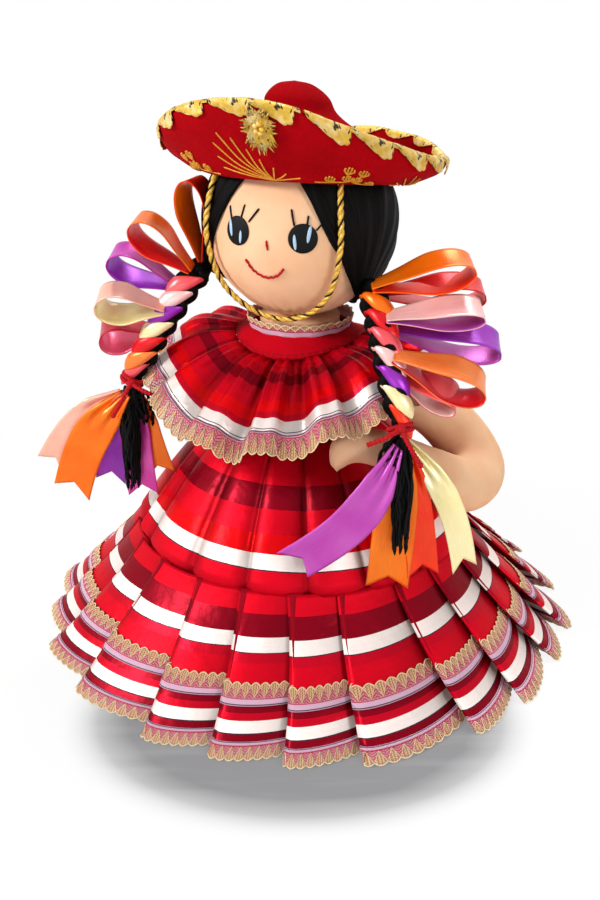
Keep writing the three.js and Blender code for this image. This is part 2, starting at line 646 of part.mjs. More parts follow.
const BRAIDS = {
  left: {
    sign: 1,
    rootDrop: 35, // degrees below the middle of the head
    tieAzimuth: 52,
    tieRadius: 110, // from the doll's axis to the tied end of the braid
    tieRise: 14, // of the tied end over the top of the skirt
    loops: [
      [0.09, 12, 12, 54, 15, 'orange'], [0.19, -12, -1, 58, 15, 'salmon'], [0.33, 12, 3, 54, 13, 'mauve'],
      [0.45, -12, -10, 64, 16, 'purple'], [0.57, 12, -20, 56, 17, 'red'], [0.73, -3, -30, 38, 9, 'salmon'],
    ],
    tails: [
      [-42, 5.2, 12, 90, 'purple'], [-3, -3.5, 7.5, 86, 'orange'], [12, -5.2, 7, 82, 'red'], [28, -7, 6.5, 88, 'cream'],
    ],
  },
  right: {
    sign: -1,
    rootDrop: 25,
    tieAzimuth: 62,
    tieRadius: 110,
    tieRise: 18,
    loops: [
      [0.14, 0, 66, 44, 15, 'red'], [0.22, 0, 44, 46, 16, 'orange'], [0.36, 0, 26, 48, 16, 'magenta'],
      [0.5, 0, 10, 47, 17, 'peach'], [0.68, 0, -13, 36, 15, 'purple'],
    ],
    tails: [
      [43, 6.2, 4, 72, 'orange'], [53, 4.9, 3, 70, 'salmon'], [-5, -3.5, 6.5, 66, 'magenta'], [-12, -7, 7.2, 54, 'red'],
      [16, -5.2, 6, 60, 'purple'],
    ],
  },
};

for (const [side, braid] of Object.entries(BRAIDS)) {
  const bearing = (degrees) => {
    const azimuth = radians(degrees) * braid.sign;
    return new THREE.Vector3(Math.sin(azimuth), -Math.cos(azimuth), 0);
  };
  const drop = radians(braid.rootDrop);
  const rootWay = bearing(BRAID_AZIMUTH).multiplyScalar(Math.cos(drop)).addScaledVector(UP, -Math.sin(drop));
  const root = HEAD_CENTRE.clone().addScaledVector(rootWay, HAIR_RADIUS + SEAM_GAP);
  const tie = bearing(braid.tieAzimuth).multiplyScalar(braid.tieRadius).setZ(WAIST_Z + braid.tieRise);
  const shoulder = root.clone().addScaledVector(rootWay, BRAID_RADIUS);
  const middle = tie.clone().lerp(shoulder, 0.5).addScaledVector(VIEWER, 4).addScaledVector(UP, 4);
  const curve = smoothCurve([root, shoulder, middle, tie]);
  const taper = along([[0, 1], [0.75, 1], [0.93, TIE_NECK / BRAID_RADIUS], [1, TIE_NECK / BRAID_RADIUS]]);
  const girth = (t) => taper(t) * BRAID_RADIUS * (0.88 + 0.12 * Math.abs(Math.cos(Math.PI * BRAID_PLAITS * t)));
  add(`braid_${side}`, limb(curve, girth, 24, 8), BLACK_HAIR);
  const plait = limb(curve, (t) => girth(t) + 1.5 * SEAM_GAP, 24, 8);

  // Cord tied round the end of the braid, with its two loose ends
  const endWay = curve.getTangentAt(1);
  const ringMiddle = curve.getPointAt(0.955);
  const ringRadius = TIE_NECK + SEAM_GAP + TIE_CORD_DIAMETER / 2;
  const ring = new THREE.TorusGeometry(ringRadius, TIE_CORD_DIAMETER / 2, 6, 12)
    .applyQuaternion(new THREE.Quaternion().setFromUnitVectors(UP, endWay))
    .translate(ringMiddle.x, ringMiddle.y, ringMiddle.z);
  const outwards = new THREE.Vector3(Math.cos(radians(FACING)), Math.sin(radians(FACING)), 0).multiplyScalar(braid.sign);
  let knot = toSolid(ring);
  const frontWay = VIEWER.clone().addScaledVector(endWay, -VIEWER.dot(endWay)).normalize();
  const front = ringMiddle.clone().addScaledVector(frontWay, ringRadius);
  for (const lean of [-68, 30]) {
    const loose = outwards.clone().multiplyScalar(Math.sin(radians(lean))).addScaledVector(UP, -Math.cos(radians(lean)));
    const tip = front.clone().addScaledVector(loose, 19).addScaledVector(VIEWER, 9);
    const bend = front.clone().addScaledVector(loose, 8).addScaledVector(VIEWER, 7);
    knot = knot.add(toSolid(limb(smoothCurve([front, bend, tip]), () => TIE_CORD_DIAMETER / 2, 5, 5)));
  }
  add(`tie_${side}`, toGeometry(knot), RED_THREAD);

  // Loose hair under the tie
  const tasselTop = tie.clone().addScaledVector(UP, -SEAM_GAP).addScaledVector(endWay, SEAM_GAP);
  const tasselCurve = smoothCurve([
    tasselTop,
    tasselTop.clone().addScaledVector(VIEWER, 9).addScaledVector(UP, -0.4 * TASSEL_LENGTH),
    tasselTop.clone().addScaledVector(VIEWER, 14).addScaledVector(UP, -TASSEL_LENGTH),
  ]);
  const tuft = along([[0, TIE_NECK - 1], [0.5, TASSEL_RADIUS], [0.85, TASSEL_RADIUS], [1, TASSEL_RADIUS / 2]]);
  add(`tassel_${side}`, limb(tasselCurve, tuft, 10, 8), BLACK_HAIR);

  // Ribbon loops, folded out of the braid and back
  braid.loops.forEach(([share, depth, angle, length, height, colour], i) => {
    const base = curve.getPointAt(share).addScaledVector(VIEWER, depth);
    const way = outwards.clone().multiplyScalar(Math.cos(radians(angle))).addScaledVector(UP, Math.sin(radians(angle)));
    const strip = ribbonLoop(base, way, 0.6 * BRAID_RADIUS, length, height, braid.sign);
    add(`loop_${side}_${i + 1}`, cut(strip, plait), RIBBON_COLOURS[colour]);
  });

  // Ribbon tails under the tie, cut to a swallowtail
  braid.tails.forEach(([lean, depth, tilt, length, colour], i) => {
    const way = outwards.clone().multiplyScalar(Math.sin(radians(lean))).addScaledVector(UP, -Math.cos(radians(lean)));
    way.addScaledVector(VIEWER, Math.sin(radians(tilt))).normalize();
    const start = tie.clone().addScaledVector(VIEWER, depth).addScaledVector(way, TIE_NECK + TIE_CORD_DIAMETER);
    add(`tail_${side}_${i + 1}`, ribbonTail(start, way, length), RIBBON_COLOURS[colour]);
  });
}

// A strip of ribbon folded back on itself, as a flat outline pulled out to the ribbon's width
function ribbonLoop(base, way, near, length, height, sign) {
  const half = [[0, 0.08], [0.3, 0.26], [0.62, 0.48], [0.85, 0.42], [0.97, 0.2]];
  const middle = new THREE.SplineCurve([
    ...half.map(([x, y]) => new THREE.Vector2(near + x * length, y * height)),
    new THREE.Vector2(near + length, 0),
    ...half.toReversed().map(([x, y]) => new THREE.Vector2(near + x * length, -y * height)),
  ]);
  const count = 12;
  const edge = (offset) => Array.from({ length: count + 1 }, (_, i) => {
    const tangent = middle.getTangent(i / count);
    const point = middle.getPoint(i / count);
    return new THREE.Vector2(point.x - tangent.y * offset, point.y + tangent.x * offset);
  });
  const outline = new THREE.Shape([...edge(RIBBON / 2), ...edge(-RIBBON / 2).reverse()]);
  const strip = new THREE.ExtrudeGeometry(outline, { depth: RIBBON_WIDTH, bevelEnabled: false })
    .translate(0, 0, -RIBBON_WIDTH / 2)
    .rotateX(radians(sign * 22));
  const across = new THREE.Vector3().crossVectors(VIEWER, way);
  const basis = new THREE.Matrix4().makeBasis(way, across, VIEWER).setPosition(base);
  return strip.applyMatrix4(basis);
}

function ribbonTail(start, way, length) {
  const gathered = 3.5;
  const wide = RIBBON_WIDTH / 2;
  const outline = new THREE.Shape(
    [
      [-gathered, 0], [-wide * 0.8, 0.3 * length], [-wide, 0.55 * length], [-wide, length],
      [0, length - wide * 0.7], [wide, length], [wide, 0.55 * length], [wide * 0.8, 0.3 * length], [gathered, 0],
    ].map(([x, y]) => new THREE.Vector2(x, y)),
  );
  const strip = new THREE.ExtrudeGeometry(outline, { depth: RIBBON, bevelEnabled: false }).translate(0, 0, -RIBBON / 2);
  const across = new THREE.Vector3().crossVectors(way, VIEWER).normalize();
  const face = new THREE.Vector3().crossVectors(across, way).normalize();
  return strip.applyMatrix4(new THREE.Matrix4().makeBasis(across, way, face).setPosition(start));
}

export default doll;
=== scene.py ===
"""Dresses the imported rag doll: camera, light, stuffed body, satin tiers, hair, ribbons and hat.

Lengths in the classes are millimetres in the part's own frame; meshes are written in metres.
"""

import bisect
import logging
import math
from dataclasses import dataclass, field
from enum import Enum
from typing import Callable, Optional, Sequence, Union

import bmesh
import bpy
from mathutils import Matrix, Vector, noise


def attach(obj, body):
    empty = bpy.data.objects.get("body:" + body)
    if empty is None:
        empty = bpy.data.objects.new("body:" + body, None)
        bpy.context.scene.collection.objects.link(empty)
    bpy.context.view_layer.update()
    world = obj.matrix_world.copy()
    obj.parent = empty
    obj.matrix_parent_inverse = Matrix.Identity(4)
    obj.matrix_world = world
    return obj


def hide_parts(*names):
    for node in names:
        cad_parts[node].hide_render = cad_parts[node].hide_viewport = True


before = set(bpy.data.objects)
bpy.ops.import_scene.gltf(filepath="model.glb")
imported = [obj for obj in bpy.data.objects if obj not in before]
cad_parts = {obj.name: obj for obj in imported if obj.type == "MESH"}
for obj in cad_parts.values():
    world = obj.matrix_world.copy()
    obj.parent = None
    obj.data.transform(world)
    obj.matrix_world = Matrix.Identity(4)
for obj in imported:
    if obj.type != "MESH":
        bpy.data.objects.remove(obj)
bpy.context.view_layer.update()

LOG = logging.getLogger("rag_doll")
MM = 0.001
FULL = 2 * math.pi
UP = Vector((0, 0, 1))
SIDEWAYS = Vector((1, 0, 0))
BACKWARDS = Vector((0, 1, 0))
HEAD_MIDDLE = Vector((0, 0, 269))
FACING = math.radians(20)
VIEWER = Vector((math.sin(FACING), -math.cos(FACING), 0))

Place = Callable[[float, float], Vector]
Colour = tuple[float, float, float, float]


def paint(code: str) -> Colour:
    """Turns a six-digit colour code into linear light.

    Args:
        code: Red, green and blue as two hexadecimal digits each.

    Returns:
        The colour as four linear numbers.
    """
    parts = [int(code[i : i + 2], 16) / 255 for i in (0, 2, 4)]
    red, green, blue = [p / 12.92 if p <= 0.04045 else ((p + 0.055) / 1.055) ** 2.4 for p in parts]
    return (red, green, blue, 1.0)


def ease(low: float, high: float, at: float) -> float:
    """Rises smoothly from 0 at low to 1 at high."""
    share = min(1.0, max(0.0, (at - low) / (high - low)))
    return share * share * (3 - 2 * share)


def hump(at: float, middle: float, width: float) -> float:
    """A soft bump of height 1 around middle."""
    return math.exp(-(((at - middle) / width) ** 2))


def jitter(*seeds: float) -> float:
    """A fixed pseudo-random number from -1 to 1 for these seeds."""
    mixed = sum((i + 1) * 12.9898 * seed for i, seed in enumerate(seeds))
    wave = math.sin(mixed + 4.1) * 43758.5453
    return 2 * (wave - math.floor(wave)) - 1


def between(knots: Sequence[tuple[float, float]], at: float) -> float:
    """Reads a value off straight lines through knots.

    Args:
        knots: Pairs of position and value, in rising order.
        at: The position to read.

    Returns:
        The value there, held flat past both ends.
    """
    if at <= knots[0][0]:
        return knots[0][1]
    for (left, low), (right, high) in zip(knots, knots[1:]):
        if at <= right:
            return low + (high - low) * (at - left) / (right - left)
    return knots[-1][1]


class Value:
    """A number that varies over a surface, for use in plain expressions."""

    def __init__(self, shader: "Shader", socket: bpy.types.NodeSocket) -> None:
        """Keeps the socket and the shader whose nodes it belongs to."""
        self.shader = shader
        self.socket = socket

    def _math(self, operation: str, *numbers: Union["Value", float]) -> "Value":
        """Adds one Math node over the given numbers."""
        node = self.shader.node("ShaderNodeMath", {"operation": operation}, dict(enumerate(numbers)))
        return Value(self.shader, node.outputs[0])

    def __add__(self, other: Union["Value", float]) -> "Value":
        """Sum."""
        return self._math("ADD", self, other)

    __radd__ = __add__

    def __sub__(self, other: Union["Value", float]) -> "Value":
        """Difference."""
        return self._math("SUBTRACT", self, other)

    def __rsub__(self, other: float) -> "Value":
        """Difference from a plain number."""
        return self._math("SUBTRACT", other, self)

    def __mul__(self, other: Union["Value", float]) -> "Value":
        """Product."""
        return self._math("MULTIPLY", self, other)

    __rmul__ = __mul__

    def __gt__(self, other: Union["Value", float]) -> "Value":
        """One where this is greater, else zero."""
        return self._math("GREATER_THAN", self, other)

    def __pow__(self, other: float) -> "Value":
        """Power."""
        return self._math("POWER", self, other)

    def __abs__(self) -> "Value":
        """Size without sign."""
        return self._math("ABSOLUTE", self)

    def sine(self) -> "Value":
        """Sine of an angle in radians."""
        return self._math("SINE", self)

    def fraction(self) -> "Value":
        """What is left over a whole number."""
        return self._math("FRACT", self)

    def most(self, other: Union["Value", float]) -> "Value":
        """The larger of two."""
        return self._math("MAXIMUM", self, other)

    def rise(self, low: float, high: float) -> "Value":
        """Goes from 0 at low to 1 at high, held at both ends."""
        node = self.shader.node("ShaderNodeMapRange", {"clamp": True}, {0: self, 1: low, 2: high})
        return Value(self.shader, node.outputs[0])


Feed = Union[Value, bpy.types.NodeSocket, float, Colour]


class Shader:
    """The nodes of one material, ending in one surface shader."""

    def __init__(self, name: str) -> None:
        """Starts an empty node tree.

        Args:
            name: The material's name.
        """
        self.material = bpy.data.materials.new(name)
        self.material.use_nodes = True
        self.tree = self.material.node_tree
        self.tree.nodes.clear()

    def node(
        self, kind: str, settings: Optional[dict] = None, inputs: Optional[dict] = None
    ) -> bpy.types.Node:
        """Adds any node.

        Args:
            kind: The node's type.
            settings: Its properties; "stops" gives a stepped ramp's positions and colours.
            inputs: Values or links by socket name or number.

        Returns:
            The new node.
        """
        made = self.tree.nodes.new(kind)
        for name, setting in (settings or {}).items():
            if name == "stops":
                self._stops(made.color_ramp, setting)
            else:
                setattr(made, name, setting)
        for name, value in (inputs or {}).items():
            self.feed(made.inputs[name], value)
        return made

    @staticmethod
    def _stops(ramp: bpy.types.ColorRamp, stops: Sequence[tuple[float, Colour]]) -> None:
        """Makes a ramp stepped and writes its stops in rising order."""
        ramp.interpolation = "CONSTANT"
        while len(ramp.elements) > 1:
            ramp.elements.remove(ramp.elements[-1])
        for i, (position, colour) in enumerate(stops):
            element = ramp.elements[0] if i == 0 else ramp.elements.new(position)
            element.position = position
            element.color = colour

    def feed(self, socket: bpy.types.NodeSocket, value: Feed) -> None:
        """Links or sets one socket."""
        if isinstance(value, Value):
            self.tree.links.new(value.socket, socket)
        elif isinstance(value, bpy.types.NodeSocket):
            self.tree.links.new(value, socket)
        else:
            socket.default_value = value

    def coordinates(self, kind: str) -> tuple[Value, Value, Value]:
        """Splits a coordinate into its three numbers; kind is Object or UV."""
        texture = self.node("ShaderNodeTexCoord")
        split = self.node("ShaderNodeSeparateXYZ", {}, {0: texture.outputs[kind]})
        return tuple(Value(self, output) for output in split.outputs)

    def combine(self, *numbers: Union[Value, float]) -> bpy.types.NodeSocket:
        """Joins up to three numbers into a vector."""
        return self.node("ShaderNodeCombineXYZ", {}, dict(enumerate(numbers))).outputs[0]

    def noise(self, place: bpy.types.NodeSocket, scale: float, detail: float = 3.0) -> Value:
        """Soft noise from 0 to 1 at a place."""
        inputs = {"Vector": place, "Scale": scale, "Detail": detail}
        return Value(self, self.node("ShaderNodeTexNoise", {}, inputs).outputs[0])

    def object_place(self) -> bpy.types.NodeSocket:
        """The point itself, in the part's frame."""
        return self.node("ShaderNodeTexCoord").outputs["Object"]

    def mix(self, factor: Feed, first: Feed, second: Feed) -> bpy.types.NodeSocket:
        """Blends two colours."""
        settings = {"data_type": "RGBA"}
        return self.node("ShaderNodeMix", settings, {0: factor, 6: first, 7: second}).outputs[2]

    def shade(self, colour: Feed, brightness: Value) -> bpy.types.NodeSocket:
        """Scales a colour by a varying brightness."""
        grey = self.combine(brightness, brightness, brightness)
        settings = {"data_type": "RGBA", "blend_type": "MULTIPLY"}
        return self.node("ShaderNodeMix", settings, {0: 1.0, 6: colour, 7: grey}).outputs[2]

    def ramp(self, at: Value, stops: Sequence[tuple[float, Colour]]) -> bpy.types.NodeSocket:
        """Reads a colour off a stepped ramp."""
        return self.node("ShaderNodeValToRGB", {"stops": stops}, {0: at}).outputs[0]

    def bump(self, height: Value, depth: float) -> bpy.types.NodeSocket:
        """Turns a height from 0 to 1 into a bumped normal; depth is in millimetres."""
        inputs = {"Strength": 1.0, "Distance": depth * MM, "Height": height}
        return self.node("ShaderNodeBump", {}, inputs).outputs[0]

    def seen(self) -> Value:
        """One for rays from the camera, off gloss and through clear things, else zero."""
        rays = self.node("ShaderNodeLightPath").outputs
        direct = Value(self, rays["Is Camera Ray"])
        return direct.most(Value(self, rays["Is Glossy Ray"])).most(Value(self, rays["Is Transmission Ray"]))

    def surface(self, **inputs: Feed) -> bpy.types.Material:
        """Ends the material in one Principled shader.

        Args:
            inputs: Socket names with underscores for spaces, and what feeds them.

        Returns:
            The finished material.
        """
        named = {name.replace("_", " "): value for name, value in inputs.items()}
        shader = self.node("ShaderNodeBsdfPrincipled", {}, named)
        self.node("ShaderNodeOutputMaterial", {}, {0: shader.outputs[0]})
        return self.material


class Backdrop(Shader):
    """The nodes of the world round the doll."""

    def __init__(self, name: str) -> None:
        """Starts an empty node tree in a new world."""
        self.world = bpy.data.worlds.new(name)
        self.world.use_nodes = True
        self.tree = self.world.node_tree
        self.tree.nodes.clear()


MADE: dict[object, bpy.types.Material] = {}


class Finish:
    """A finish that is made into a material once, however many pieces wear it."""

    def material(self) -> bpy.types.Material:
        """The one material of this finish."""
        if self not in MADE:
            MADE[self] = self.make()
        return MADE[self]

    def make(self) -> bpy.types.Material:
        """Builds the material; each finish has its own."""
        raise NotImplementedError


@dataclass(frozen=True)
class Cotton(Finish):
    """Plain woven cotton, with its threads and small unevenness of colour."""

    name: str
    colour: Colour
    deep: Colour
    thread: float = 0.55
    relief: float = 0.12
    rough: float = 0.85

    def make(self) -> bpy.types.Material:
        """Weaves two sets of threads in the part's frame."""
        shader = Shader(self.name)
        x, y, z = shader.coordinates("Object")
        pitch = FULL / (self.thread * MM)
        warp = ((x + y * 0.6) * pitch).sine()
        weft = ((z + y * 0.35) * pitch).sine()
        cloud = shader.noise(shader.object_place(), 38.0, 4.0)
        fuzz = shader.noise(shader.object_place(), 2600.0, 2.0)
        height = warp * weft * 0.25 + fuzz * 0.6 + 0.3
        tint = shader.mix(cloud.rise(0.35, 0.75), self.colour, self.deep)
        tint = shader.shade(tint, warp * weft * 0.03 + fuzz * 0.06 + 0.95)
        normal = shader.bump(height, self.relief)
        return shader.surface(Base_Color=tint, Roughness=self.rough, Normal=normal, Specular_IOR_Level=0.04)


@dataclass(frozen=True)
class Felt(Finish):
    """Pressed felt with short fuzz and slightly rubbed patches."""

    name: str
    colour: Colour
    worn: Colour

    def make(self) -> bpy.types.Material:
        """Mottles the colour and roughens the surface."""
        shader = Shader(self.name)
        place = shader.object_place()
        patch = shader.noise(place, 55.0, 5.0)
        fuzz = shader.noise(place, 1500.0, 5.0)
        lint = shader.noise(place, 420.0, 6.0)
        tint = shader.mix(patch.rise(0.4, 0.72) * 0.55, self.colour, self.worn)
        tint = shader.shade(tint, fuzz * 0.28 + lint * 0.18 + 0.77)
        normal = shader.bump(fuzz * 0.6 + lint * 0.4, 0.45)
        return shader.surface(Base_Color=tint, Roughness=0.92, Normal=normal, Specular_IOR_Level=0.03)


@dataclass(frozen=True)
class Satin(Finish):
    """Satin ribbon: fine threads along it, a woven edge, a soft shine and painted patches of its lit tone."""

    name: str
    colour: Colour
    lit_tone: Colour
    shine: float = 0.26

    def make(self) -> bpy.types.Material:
        """Draws threads along the ribbon's own map."""
        shader = Shader(self.name)
        along, across, _ = shader.coordinates("UV")
        streak = shader.noise(shader.combine(along * 5.0, across * 90.0, 0.0), 1.0, 3.0)
        cloud = shader.noise(shader.object_place(), 45.0, 2.0)
        edge = abs(across - 0.5).rise(0.455, 0.475)
        # Painted highlight: soft patches of the lighter lit tone mixed into the colour.
        tint = shader.mix(cloud.rise(0.35, 0.7) * 0.5, self.colour, self.lit_tone)
        tint = shader.shade(tint, streak * 0.12 + 0.94 - edge * 0.08)
        ribs = (along * 620.0).sine() * 0.1
        normal = shader.bump(streak * 0.5 + edge * 0.6 + ribs, 0.08)
        return shader.surface(
            Base_Color=tint, Roughness=streak * 0.1 + (self.shine - 0.05) + edge * 0.15, Normal=normal,
            Metallic=0.3, Specular_IOR_Level=0.32, Anisotropic=0.4,
        )


class Fold(Enum):
    """How a tier of cloth is gathered."""

    PLAIN = "plain"
    SOFT = "soft"
    PRESSED = "pressed"
    KNIFE = "knife"


@dataclass(frozen=True)
class Band:
    """One woven stripe: where it starts down the cloth, its colour and how matt it is."""

    start: float
    colour: Colour
    matt: float


@dataclass(frozen=True)
class StripedSatin(Finish):
    """Dress cloth woven in bands round the skirt, with sewn pinstripes."""

    name: str
    foot: float
    bands: tuple[Band, ...]
    fold: Fold
    folds: int
    threads: float = 900.0

    def _stops(self, pick: Callable[[Band], Colour]) -> list[tuple[float, Colour]]:
        """Ramp stops up the cloth, from its foot."""
        ends = [band.start for band in self.bands[1:]] + [self.foot]
        rows = [((self.foot - end) / self.foot, pick(band)) for band, end in zip(self.bands, ends)]
        return sorted(rows, key=lambda row: row[0])

    def _fold_shade(self, around: Value) -> Value:
        """How deep in a fold the cloth lies, from 0 to 1, for the shade painted into the folds."""
        count = around * self.folds
        if self.fold is Fold.KNIFE:
            return count.fraction().rise(0.12, 0.76) ** 1.5
        if self.fold is Fold.PRESSED:
            return (1 - abs((count * math.pi).sine())) ** 1.3
        return (0.5 - (count * FULL).sine() * 0.5) ** 1.5

    def make(self) -> bpy.types.Material:
        """Reads the bands off the cloth's own map, and paints shade deep in the folds."""
        shader = Shader(self.name)
        around, rise, _ = shader.coordinates("UV")
        tint = shader.ramp(rise, self._stops(lambda band: band.colour))
        matt = Value(shader, shader.ramp(rise, self._stops(lambda band: (band.matt,) * 3 + (1.0,))))
        streak = shader.noise(shader.combine(around * 40.0, rise * 160.0, 0.0), 1.0, 4.0)
        cloud = shader.noise(shader.object_place(), 30.0, 3.0)
        slub = shader.noise(shader.combine(around * self.threads, rise * 30.0, 0.0), 1.0, 2.0)
        wrinkle = shader.noise(shader.object_place(), 80.0, 2.0)
        sheen = streak * 0.2 + cloud * 0.16 + slub * 0.1 + 0.84
        # Painted shade: deep in each fold the colour is darkened by up to about half.
        tint = shader.shade(tint, sheen * (1 - self._fold_shade(around) * 0.48))
        normal = shader.bump(streak * 0.5 + slub * 0.5 + wrinkle * 7.0, 0.1)
        return shader.surface(
            Base_Color=tint, Roughness=matt + streak * 0.1 - 0.05, Normal=normal, Metallic=0.4,
            Specular_IOR_Level=0.12, Anisotropic=0.4, Specular_Tint=paint("ffb0b0"),
        )


@dataclass(frozen=True)
class LaceNet(Finish):
    """Machine lace: a lilac heading, pink arches and gold shells on a fine net with holes."""

    name: str
    scallops: int
    band: float
    heading: Colour
    arch: Colour
    shell: Colour

    def make(self) -> bpy.types.Material:
        """Draws the repeat on the band's own map; across runs from edge to heading."""
        shader = Shader(self.name)
        around, across, _ = shader.coordinates("UV")
        saw = (around * self.scallops).fraction()
        slope = abs(saw * 2.0 - 1.0)
        turn = saw * FULL
        net = (turn * 3.0).sine() * (across * 58.0).sine()
        thread = shader.noise(shader.combine(around * (self.scallops * 9.0), across * 26.0, 0.0), 1.0, 3.0)
        under = ((self.band - 0.05) - slope * (self.band - 0.19) - across).rise(-0.02, 0.02)
        rays = (turn * 4.0).sine().rise(-0.3, 0.3)
        rings = ((across + slope * 0.2) * 46.0).sine().rise(-0.2, 0.4)
        heading = across.rise(self.band - 0.02, self.band)
        tint = shader.mix(rings * 0.55, self.arch, paint("f0b8bc"))
        tint = shader.mix(under, tint, shader.mix(rays * 0.7, self.shell, self.arch))
        tint = shader.mix(heading, tint, self.heading)
        seam = abs(across - 0.95).rise(0.03, 0.015)
        tint = shader.mix(seam, tint, paint("3a2a3c"))
        tint = shader.shade(tint, thread * 0.35 + 0.78)
        solid = (across > (0.15 - (turn * 0.5).sine() * 0.15)) * ((net + heading * 2.0) > -0.5)
        normal = shader.bump(thread + rings * 0.6 + heading * 0.2, 0.35)
        return shader.surface(Base_Color=tint, Roughness=0.7, Normal=normal, Alpha=solid, Sheen_Weight=0.1)


@dataclass(frozen=True)
class Thread(Finish):
    """Twisted sewing or embroidery thread."""

    name: str
    colour: Colour
    deep: Colour
    rough: float = 0.55
    metal: float = 0.0

    def make(self) -> bpy.types.Material:
        """Mottles fine fibres over the thread."""
        shader = Shader(self.name)
        fibre = shader.noise(shader.object_place(), 1700.0, 3.0)
        tint = shader.mix(fibre.rise(0.35, 0.7), self.deep, self.colour)
        normal = shader.bump(fibre, 0.2)
        return shader.surface(
            Base_Color=tint, Roughness=self.rough, Normal=normal, Metallic=self.metal, Specular_IOR_Level=0.15
        )


@dataclass(frozen=True)
class Yarn(Finish):
    """Combed black yarn hair with strands along it."""

    name: str
    colour: Colour
    light: Colour
    strands: float
    flow: float

    def make(self) -> bpy.types.Material:
        """Stretches noise along the hair's own map."""
        shader = Shader(self.name)
        across, along, _ = shader.coordinates("UV")
        fine = shader.noise(shader.combine(across * self.strands, along * self.flow, 0.0), 1.0, 4.0)
        broad = shader.combine(across * self.strands * 0.17, along * self.flow * 0.6, 3.0)
        lock = shader.noise(broad, 1.0, 2.0)
        lint = shader.noise(shader.object_place(), 1300.0, 3.0)
        tint = shader.mix(fine.rise(0.45, 0.8) * 0.7 + lint.rise(0.6, 0.8) * 0.3, self.colour, self.light)
        normal = shader.bump(fine * 0.6 + lock * 0.5 + lint * 0.12, 0.55)
        return shader.surface(Base_Color=tint, Roughness=0.6, Normal=normal, Specular_IOR_Level=0.06)


@dataclass(frozen=True)
class GoldBraid(Finish):
    """Woven gold trim: ribbed metallic threads with dark flecks between, and pale painted highlights."""

    name: str
    colour: Colour
    deep: Colour
    fleck: Colour
    ribs: float = 26.0

    def make(self) -> bpy.types.Material:
        """Ribs and flecks follow each leaf's own map."""
        shader = Shader(self.name)
        across, along, _ = shader.coordinates("UV")
        rib = ((across + along * 0.35) * (self.ribs * FULL)).sine() * 0.5 + 0.5
        grain = shader.noise(shader.object_place(), 900.0, 3.0)
        patch = shader.noise(shader.object_place(), 170.0, 2.0)
        spot = shader.noise(shader.combine(across * 11.0, along * 5.0, patch * 0.5), 1.0, 1.0)
        fleck = spot.rise(0.6, 0.64)
        tint = shader.mix(rib * 0.7 + grain * 0.4 - 0.1, self.deep, self.colour)
        # Painted highlight: soft patches of near white over the gold.
        tint = shader.mix(patch.rise(0.45, 0.7) * 0.5, tint, paint("fff3c4"))
        tint = shader.mix(fleck, tint, self.fleck)
        normal = shader.bump(rib * 0.7 + grain * 0.3, 0.3)
        return shader.surface(
            Base_Color=tint, Roughness=grain * 0.2 + 0.3, Normal=normal, Metallic=0.2, Specular_IOR_Level=0.4
        )


@dataclass(frozen=True)
class Stage(Finish):
    """Pale floor that keeps real shadow, shows a painted one in front and looks white to the camera."""

    name: str
    lift: float

    def make(self) -> bpy.types.Material:
        """Plain diffuse for light, white with a painted soft pool of shadow for the rays that show the floor.
        """
        shader = Shader(self.name)
        seen = shader.seen()
        x, y, _ = shader.coordinates("Object")
        across = x * math.cos(FACING) + y * math.sin(FACING)
        near = x * math.sin(FACING) - y * math.cos(FACING)
        # Painted shadow: a soft, streaked oval of grey on the white, in front of the doll.
        streak = shader.noise(shader.combine(across * 9.0, near * 70.0, 0.0), 1.0, 2.0) * 0.36 + 0.82
        pool = 1 - abs(across * 6.9) ** 2.0 - abs((near - 0.13) * 9.6) ** 2.0
        pool = pool.rise(0.0, 0.5) * (pool.rise(-0.15, 0.3) ** 2.0)
        far = ((x * x + y * y) ** 0.5).rise(0.2, 0.42)
        tint = shader.mix(pool * streak, (1, 1, 1, 1), (0.24, 0.24, 0.25, 1))
        plain = shader.node("ShaderNodeBsdfDiffuse", {}, {"Color": paint("f4f4f4")})
        white = shader.node("ShaderNodeEmission", {}, {"Color": tint, "Strength": 1.0})
        share = seen * (far * (1 - self.lift) + self.lift)
        both = shader.node("ShaderNodeMixShader", {}, {0: share, 1: plain.outputs[0], 2: white.outputs[0]})
        shader.node("ShaderNodeOutputMaterial", {}, {0: both.outputs[0]})
        return shader.material


SKIN = Cotton("skin_cotton", paint("f5c8a0"), paint("ecb48a"), 0.5, 0.1)
YOKE_RED = Cotton("yoke_cotton", paint("c8031a"), paint("b10214"), 0.5, 0.16, 0.7)
LINING = Cotton("lining_cotton", paint("9e0b1f"), paint("880919"), 0.6, 0.14, 0.8)
WHITE_COTTON = Cotton("petticoat_cotton", paint("f1ede6"), paint("e4ded4"), 0.7, 0.16)
HAT_FELT = Felt("hat_felt", paint("a3040e"), paint("840308"))
SHOE_FELT = Felt("shoe_felt", paint("17161a"), paint("0d0d10"))
HAIR = Yarn("combed_yarn", paint("030303"), paint("1d1718"), 150.0, 5.0)
HANK = Yarn("hank_yarn", paint("040404"), paint("1c1818"), 26.0, 12.0)
TASSEL = Thread("tassel_yarn", paint("0a0909"), paint("030303"), 0.8)
BLACK_THREAD = Thread("black_thread", paint("0a0b0d"), paint("040405"), 0.55)
BLUE_THREAD = Thread("pale_blue_thread", paint("bcd6ec"), paint("9cbcd8"), 0.4)
RED_THREAD = Thread("red_thread", paint("cf1520"), paint("9c0d16"), 0.6)
GOLD_THREAD = Thread("gold_thread", paint("f0b848"), paint("c47d1a"), 0.4, 0.3)
CORD_GOLD = Thread("cord_gold", paint("f2cf6a"), paint("c08d26"), 0.35, 0.35)
CORD_BLACK = Thread("cord_black", paint("1d1a16"), paint("0b0a08"), 0.5)
CREAM_THREAD = Thread("cream_thread", paint("fbecc8"), paint("e6c996"), 0.6)
